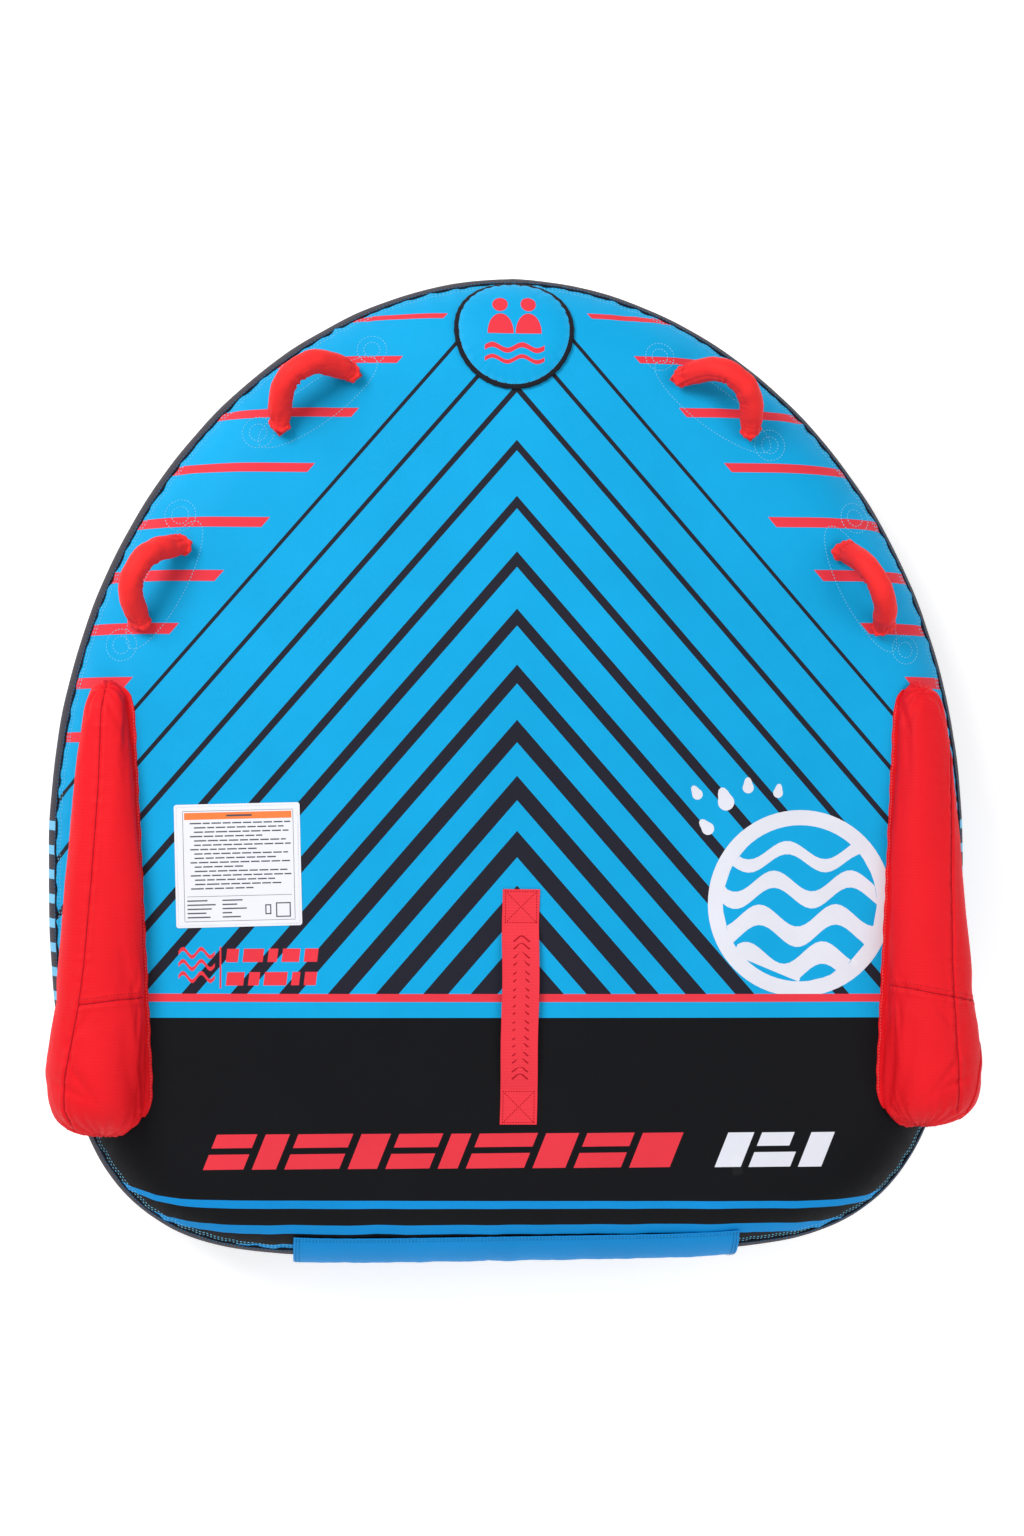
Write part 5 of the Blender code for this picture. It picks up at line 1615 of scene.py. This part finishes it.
def build_handle(row, side_name, seed):
    """Grab handle: sleeve, the webbing ends coming out of it and the tabs they are sewn to."""
    body = f"{row}_{side_name}_handle"
    middle, along, rise, half = handle_frame(row, side_name)
    path, across, out = handle_line(middle, along, rise, half, SLEEVE_FOOT, SLEEVE_RINGS)
    mesh = build_sleeve(body, path, across, out, HANDLES[(row, side_name)][1], seed)
    sew_sleeve_ends(body, mesh, path, across, out)
    line = handle_line(middle, along, rise, half, 0.006, 45)
    parts = [sweep(*(part[rows] for part in line), LOOP_PROFILE) for rows in (slice(0, 6), slice(39, 45))]
    points, faces = gather(parts)
    loops = piece(f"{body}_loop_ends", points, faces, ["tab"], body=body, slot="red_webbing")
    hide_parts(f"{body}_webbing")
    build_tabs(body, middle, along, half)


def face_up(obj):
    """Make an open patch face upwards."""
    mesh = obj.data
    mesh.update()
    if sum(p.normal.z * p.area for p in mesh.polygons) < 0:
        mesh.flip_normals()
        mesh.update()


PATCH_RINGS = ((-0.505, 0.379, 0.024), (-0.5925, 0.1839, 0.024), (-0.3885, 0.5036, 0.024),
               (-0.2181, 0.6300, 0.022), (0.5225, 0.3843, 0.024), (0.5986, 0.1813, 0.022),
               (0.3867, 0.492, 0.024), (0.2183, 0.6250, 0.022))


def build_deck_stitches():
    """Sewn outlines of the reinforcing patches that hold the handles from inside."""
    rows = []
    for x, y, radius in PATCH_RINGS:
        rows.append(deck_run(circle(x, y, radius), 0.0052, True))
        rows.append(deck_run(circle(x, y, radius * 0.55), 0.0052, True))
    for ends in HANDLE_ENDS.values():
        for side in (-1, 1):
            a, b = np.array(ends[0]) * (side, 1), np.array(ends[1]) * (side, 1)
            (x, y), run = (a + b) / 2, b - a
            long_half, turn = np.linalg.norm(run) / 2 + 0.040, math.atan2(run[1], run[0])
            rows.append(deck_run(circle(x, y, 0.031, 60, long_half, turn), 0.0052, True))
    stitches("deck_patch_stitches", rows, "thread_pale", slot="deck_nylon")


# ---------------------------------------------------------------- zip and its flap

ZIP_TOP, ZIP_BOTTOM, ZIP_RUN = 52.0, -20.0, 42.0
ZIP_BASE, ZIP_STAND = 0.0020, 0.0096
ZIP_LEFT, ZIP_RIGHT = -0.339, 0.347


def tail_station(x):
    """Place along the outline of an x on the tail half."""
    rows = EDGE_XY[:, 1] < WIDEST_Y
    order = np.argsort(EDGE_XY[rows, 0])
    return np.interp(x, EDGE_XY[rows, 0][order], EDGE_S[rows][order])


def zip_flap_offset(angle):
    """How far the flap stands off the side at an angle."""
    share = np.minimum((ZIP_TOP - angle) / ZIP_RUN, 1.0)
    return ZIP_BASE + (ZIP_STAND - ZIP_BASE) * share * (2 - share)


TOOTH_FACES = [(0, 1, 5, 4), (1, 2, 6, 5), (2, 3, 7, 6), (3, 0, 4, 7), (4, 5, 9, 8), (5, 6, 10, 9),
               (6, 7, 11, 10), (7, 4, 8, 11), (8, 9, 10, 11), (3, 2, 1, 0)]


def build_zip():
    """Tail flap with its stitch rows, and the zip's tape, teeth and pull behind it."""
    x = np.linspace(ZIP_LEFT, ZIP_RIGHT, 97)
    angle = np.linspace(ZIP_TOP, ZIP_BOTTOM, 25)
    gx, ga = np.meshgrid(x, angle)
    station = tail_station(gx)
    ripple = 0.0011 * waves(gx, 0.085, 0.8) * np.clip((ZIP_TOP - ga) / 30, 0, 1)
    ripple = ripple + 0.0004 * waves(gx, 0.023, 1.8)
    outer, normal = side_point(station, ga, 0.0)
    lift = zip_flap_offset(ga) + 0.0009 + ripple * 0.8
    hem = np.exp(-((ga - ZIP_BOTTOM) / 1.8) ** 2) * 0.0008
    upper = outer + normal * (lift + hem + 0.0005)[..., None]
    lower = outer + normal * (lift - 0.0006)[..., None]
    rows, cols = gx.shape
    count = rows * cols
    faces = grid_faces(rows, cols) + grid_faces(rows, cols, start=count, flip=True)
    for i in range(rows - 1):
        a, b = i * cols, (i + 1) * cols
        c, d = a + cols - 1, b + cols - 1
        faces += [(a, b, b + count, a + count), (d, c, c + count, d + count)]
    last = (rows - 1) * cols
    for j in range(cols - 1):
        k = last + j
        faces += [(j + 1, j, j + count, j + 1 + count), (k, k + 1, k + 1 + count, k + count)]
    points = np.vstack([upper.reshape(-1, 3), lower.reshape(-1, 3)])
    flap = piece("zipper_flap_cloth", points, faces, ["rear_blue"], keep=True)
    face_out(flap)
    flap.data.shade_smooth()
    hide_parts("zipper_flap")
    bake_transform(flap)

    rows = []
    line = np.linspace(ZIP_LEFT + 0.004, ZIP_RIGHT - 0.004, 130)
    for level in (ZIP_TOP - 0.9, ZIP_TOP - 2.6):
        path, normals = side_point(tail_station(line), np.full(130, level))
        path = path + normals * (zip_flap_offset(np.full(130, level)) + 0.0018)[:, None]
        rows.append((path, normals, 0.0051, False))
    seam = stitches("zipper_flap_top_stitches", rows, "thread_dark_blue", keep=True)
    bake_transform(seam)
    rows = []
    level = np.linspace(ZIP_TOP - 1.5, ZIP_BOTTOM + 1.5, 34)
    for x_at in (ZIP_LEFT + 0.004, ZIP_LEFT + 0.009, ZIP_RIGHT - 0.009, ZIP_RIGHT - 0.004):
        path, normals = side_point(tail_station(np.full(34, x_at)), level)
        path = path + normals * (zip_flap_offset(level) + 0.0020)[:, None]
        rows.append((path, normals, 0.0047, False))
    path, normals = side_point(tail_station(line), np.full(130, ZIP_BOTTOM + 3.2))
    path = path + normals * (ZIP_STAND + 0.0019)
    rows.append((path, normals, 0.0051, False))
    hemmed = stitches("zipper_flap_edge_stitches", rows, "thread_dark_blue", keep=True)
    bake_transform(hemmed)

    # Zip behind the flap: ribbed tape, moulded teeth and a slider with a webbing pull.
    tape_low, tape_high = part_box("zipper_tape")
    face = tape_low.y
    x = np.linspace(tape_low.x, tape_high.x, 121)
    z = np.linspace(tape_low.z, tape_high.z, 15)
    gx, gz = np.meshgrid(x, z)
    weave = 0.00018 * np.cos(gz * 2 * math.pi / 0.0042)
    front = np.stack([gx, face + 0.00012 - weave, gz], -1).reshape(-1, 3)
    back = np.stack([gx, np.full_like(gx, tape_high.y), gz], -1).reshape(-1, 3)
    rows_n, cols_n = gx.shape
    count = rows_n * cols_n
    faces = grid_faces(rows_n, cols_n) + grid_faces(rows_n, cols_n, start=count, flip=True)
    tape = piece("zipper_tape_cloth", np.vstack([front, back]), faces, ["binding"], slot="dark_nylon")
    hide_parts("zipper_tape")
    coil_low, coil_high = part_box("zipper_coil")
    middle = (coil_low.z + coil_high.z) / 2
    parts = []
    for index, tooth in enumerate(np.arange(coil_low.x + 0.001, coil_high.x - 0.001, 0.0022)):
        lean = 1 if index % 2 else -1
        shape = []
        for depth, reach in ((coil_high.y, 1.0), (coil_low.y + 0.0004, 0.85), (coil_low.y, 0.55)):
            for a, b in ((-0.0009, -0.0006), (0.0009, -0.0006), (0.0009, 0.0023), (-0.0009, 0.0023)):
                shape.append((tooth + a * reach, depth, middle + lean * b * (0.8 + 0.2 * reach)))
        parts.append((shape, TOOTH_FACES))
    points, faces = gather(parts)
    teeth = piece("zipper_teeth", points, faces, ["plastic"], keep=True, smooth=30)
    face_out(teeth)
    settle(teeth, "tube")
    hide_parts("zipper_coil")

    pull_low, pull_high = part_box("zipper_pull")
    cx = (pull_low.x + pull_high.x) / 2
    t = np.linspace(0, 1, 12)
    sag = pull_low.y + 0.0006 - 0.0004 * np.sin(t * 3)
    path = np.stack([np.full(12, cx), sag, pull_high.z + (pull_low.z - pull_high.z) * t], 1)
    width = 0.0045 * (1 - 0.12 * np.sin(t * math.pi))
    profile = np.array([(-1.0, -0.0005), (-1.02, 0.0), (-1.0, 0.0005),
                        (1.0, 0.0005), (1.02, 0.0), (1.0, -0.0005)])
    shapes = np.stack([profile * (w, 1.0) for w in width])
    side = np.repeat([[1.0, 0.0, 0.0]], 12, 0)
    up = np.repeat([[0.0, -1.0, 0.0]], 12, 0)
    points, faces = sweep(path, side, up, shapes)
    pull = piece("zipper_pull_webbing", points, faces, ["tab"], body="zipper_slider", slot="red_webbing")
    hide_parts("zipper_pull")


# ---------------------------------------------------------------- tow point and valve

def nose_station(x):
    """Place along the outline of an x on the nose half."""
    rows = np.where(EDGE_XY[:, 1] > WIDEST_Y)[0]
    s = np.where(rows > len(EDGE_S) // 2, EDGE_S[rows] - PERIMETER, EDGE_S[rows])
    order = np.argsort(EDGE_XY[rows, 0])
    return np.interp(x, EDGE_XY[rows, 0][order], s[order])


def nose_patch(name, half, low, high, bottom, thick, corner, material, node):
    """Rounded patch sewn to the underside of the nose."""
    u = np.concatenate([np.linspace(-1, -0.9, 4)[:-1], np.linspace(-0.9, 0.9, 17), np.linspace(0.9, 1, 4)[1:]])
    v = np.linspace(-1, 1, 31)
    gu, gv = np.meshgrid(u, v)
    squeeze = np.sqrt(np.maximum(1 - np.clip((np.abs(gv) - (1 - corner)) / corner, 0, 1) ** 2 * 0.35, 0))
    x, angle = gu * half * squeeze, (low + high) / 2 + gv * (high - low) / 2
    base, normal = side_point(nose_station(x), angle)
    edge = np.minimum(1 - np.abs(gu), (1 - np.abs(gv)) * 0.9)
    lift = bottom + thick * np.clip(edge / 0.03, 0.0, 1.0) ** 0.5
    lift = lift + 0.0003 * np.sin(x * 240) * np.sin(angle * 0.9)
    top = (base + normal * lift[..., None]).reshape(-1, 3)
    under = (base + normal * (bottom - 0.0002)).reshape(-1, 3)
    rows, cols = gu.shape
    count = rows * cols
    faces = grid_faces(rows, cols) + grid_faces(rows, cols, start=count, flip=True)
    patch = piece(name, np.vstack([top, under]), faces, [material], keep=True)
    face_out(patch)
    settle(patch, "tube")
    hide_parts(node)


def build_tow():
    """Tow patch and webbing under the nose, with their stitch rows."""
    nose_patch("tow_patch_cloth", 0.080, -66.0, -10.0, 0.0018, 0.0012, 0.35,
               "side_dark", "tow_patch")
    nose_patch("tow_strap_webbing", 0.024, -68.0, -8.0, 0.0036, 0.0014, 0.05,
               "tow", "tow_webbing")
    rows = []
    for half, low, high, offset in ((0.075, -63.5, -12.5, 0.0031), (0.070, -61.5, -14.5, 0.0031),
                                    (0.0205, -66.0, -56.0, 0.0052), (0.0205, -20.0, -10.0, 0.0052)):
        corners = [(-half, low), (half, low), (half, high), (-half, high)]
        scale = 1.0 / (EDGE_RADIUS * math.pi / 180)
        flat = spaced(np.array([(x, a / scale) for x, a in corners]), 0.0052, True)
        path, normals = side_point(nose_station(flat[:, 0]), flat[:, 1] * scale, offset)
        rows.append((path, normals, 0.0052, True))
    stitches("tow_stitches", rows, "thread_grey", slot="dark_nylon")


RIB_FACES = [(0, 1, 4, 3), (1, 2, 5, 4), (3, 4, 7, 6), (4, 5, 8, 7), (6, 7, 8), (2, 1, 0), (2, 0, 3, 5),
             (5, 3, 6, 8)]


def build_valve():
    """Grip ribs round the screw cap, and the ring and bar on its top."""
    low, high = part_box("valve_cap")
    centre = Vector(((low.x + high.x) / 2, (low.y + high.y) / 2, 0.0))
    radius = (high.x - low.x) / 2
    parts = []
    for index in range(36):
        turn = 2 * math.pi * index / 36
        out = np.array([math.cos(turn), math.sin(turn), 0.0])
        side = np.array([-math.sin(turn), math.cos(turn), 0.0])
        base = np.array([centre.x, centre.y, 0.0]) + out * (radius - 0.0004)
        shape = []
        for z, reach in ((DECK_Z + 0.0024, 0.9), (DECK_Z + 0.0068, 0.9), (DECK_Z + 0.0076, 0.4)):
            level = base + np.array([0, 0, z])
            shape += [level - side * 0.0009, level + out * 0.0011 * reach, level + side * 0.0009]
        parts.append((shape, RIB_FACES))
    points, faces = gather(parts)
    piece("valve_cap_grip", points, faces, ["plastic"], body="valve_cap", slot="black_plastic", smooth=30)
    b = np.linspace(0, 2 * math.pi, 48, endpoint=False)
    path = np.stack([centre.x + 0.0135 * np.cos(b), centre.y + 0.0135 * np.sin(b), np.full(48, high.z)], 1)
    out = np.stack([np.cos(b), np.sin(b), np.zeros(48)], 1)
    up = np.repeat([[0.0, 0.0, 1.0]], 48, 0)
    profile = [(-0.0011, -0.0002), (-0.0007, 0.0007), (0.0007, 0.0007), (0.0011, -0.0002)]
    ring = sweep(path, out, up, profile, closed=True)
    across = np.linspace(-0.011, 0.011, 7) + centre.x
    bar_path = np.stack([across, np.full(7, centre.y), np.full(7, high.z)], 1)
    bar = sweep(bar_path, np.repeat([[0.0, 1.0, 0.0]], 7, 0), np.repeat([[0.0, 0.0, 1.0]], 7, 0),
                [(-0.0022, -0.0002), (-0.0016, 0.0018), (0.0016, 0.0018), (0.0022, -0.0002)])
    points, faces = gather([ring, bar])
    piece("valve_cap_top", points, faces, ["plastic"], body="valve_cap", slot="black_plastic", smooth=30)


def finish_cad_nodes():
    """Materials, and rounded edges where a hard part is seen, for the CAD nodes that stay."""
    wanted = {"bladder": "vinyl", "bladder_baffle": "vinyl", "valve_base": "plastic", "valve_cap": "plastic",
              "zipper_slider": "metal", "tow_hook": "metal", "tow_rivet": "metal", "anchor": "tab"}
    longest_first = sorted(wanted.items(), key=lambda e: -len(e[0]))
    for name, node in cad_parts.items():
        key = next((value for part, value in longest_first if part in name), None)
        if key is None:
            key = "foam" if "foam" in name or "core" in name else "deck_dark"
        if not node.data.materials:
            node.data.materials.append(M[key])
        for slot in node.material_slots:
            slot.link = "OBJECT"
            slot.material = M[key]
    for name, width in (("tow_hook", 0.0009), ("zipper_slider", 0.0005), ("valve_base", 0.0003)):
        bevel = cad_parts[name].modifiers.new("edge", "BEVEL")
        bevel.width = width
        bevel.segments = 2
        bevel.limit_method = "ANGLE"
        bevel.angle_limit = math.radians(35)


make_stage()
build_deck()
build_side_panel()
build_base()
build_bindings()
build_flap()
build_label()
build_strap()
for side_name, side in (("left", -1), ("right", 1)):
    build_bolster(side_name, side)
    build_hem(side_name, side)
for number, (row_name, side_name) in enumerate(HANDLES):
    build_handle(row_name, side_name, 0.7 + number * 1.3)
build_deck_stitches()
build_zip()
build_tow()
build_valve()
finish_cad_nodes()
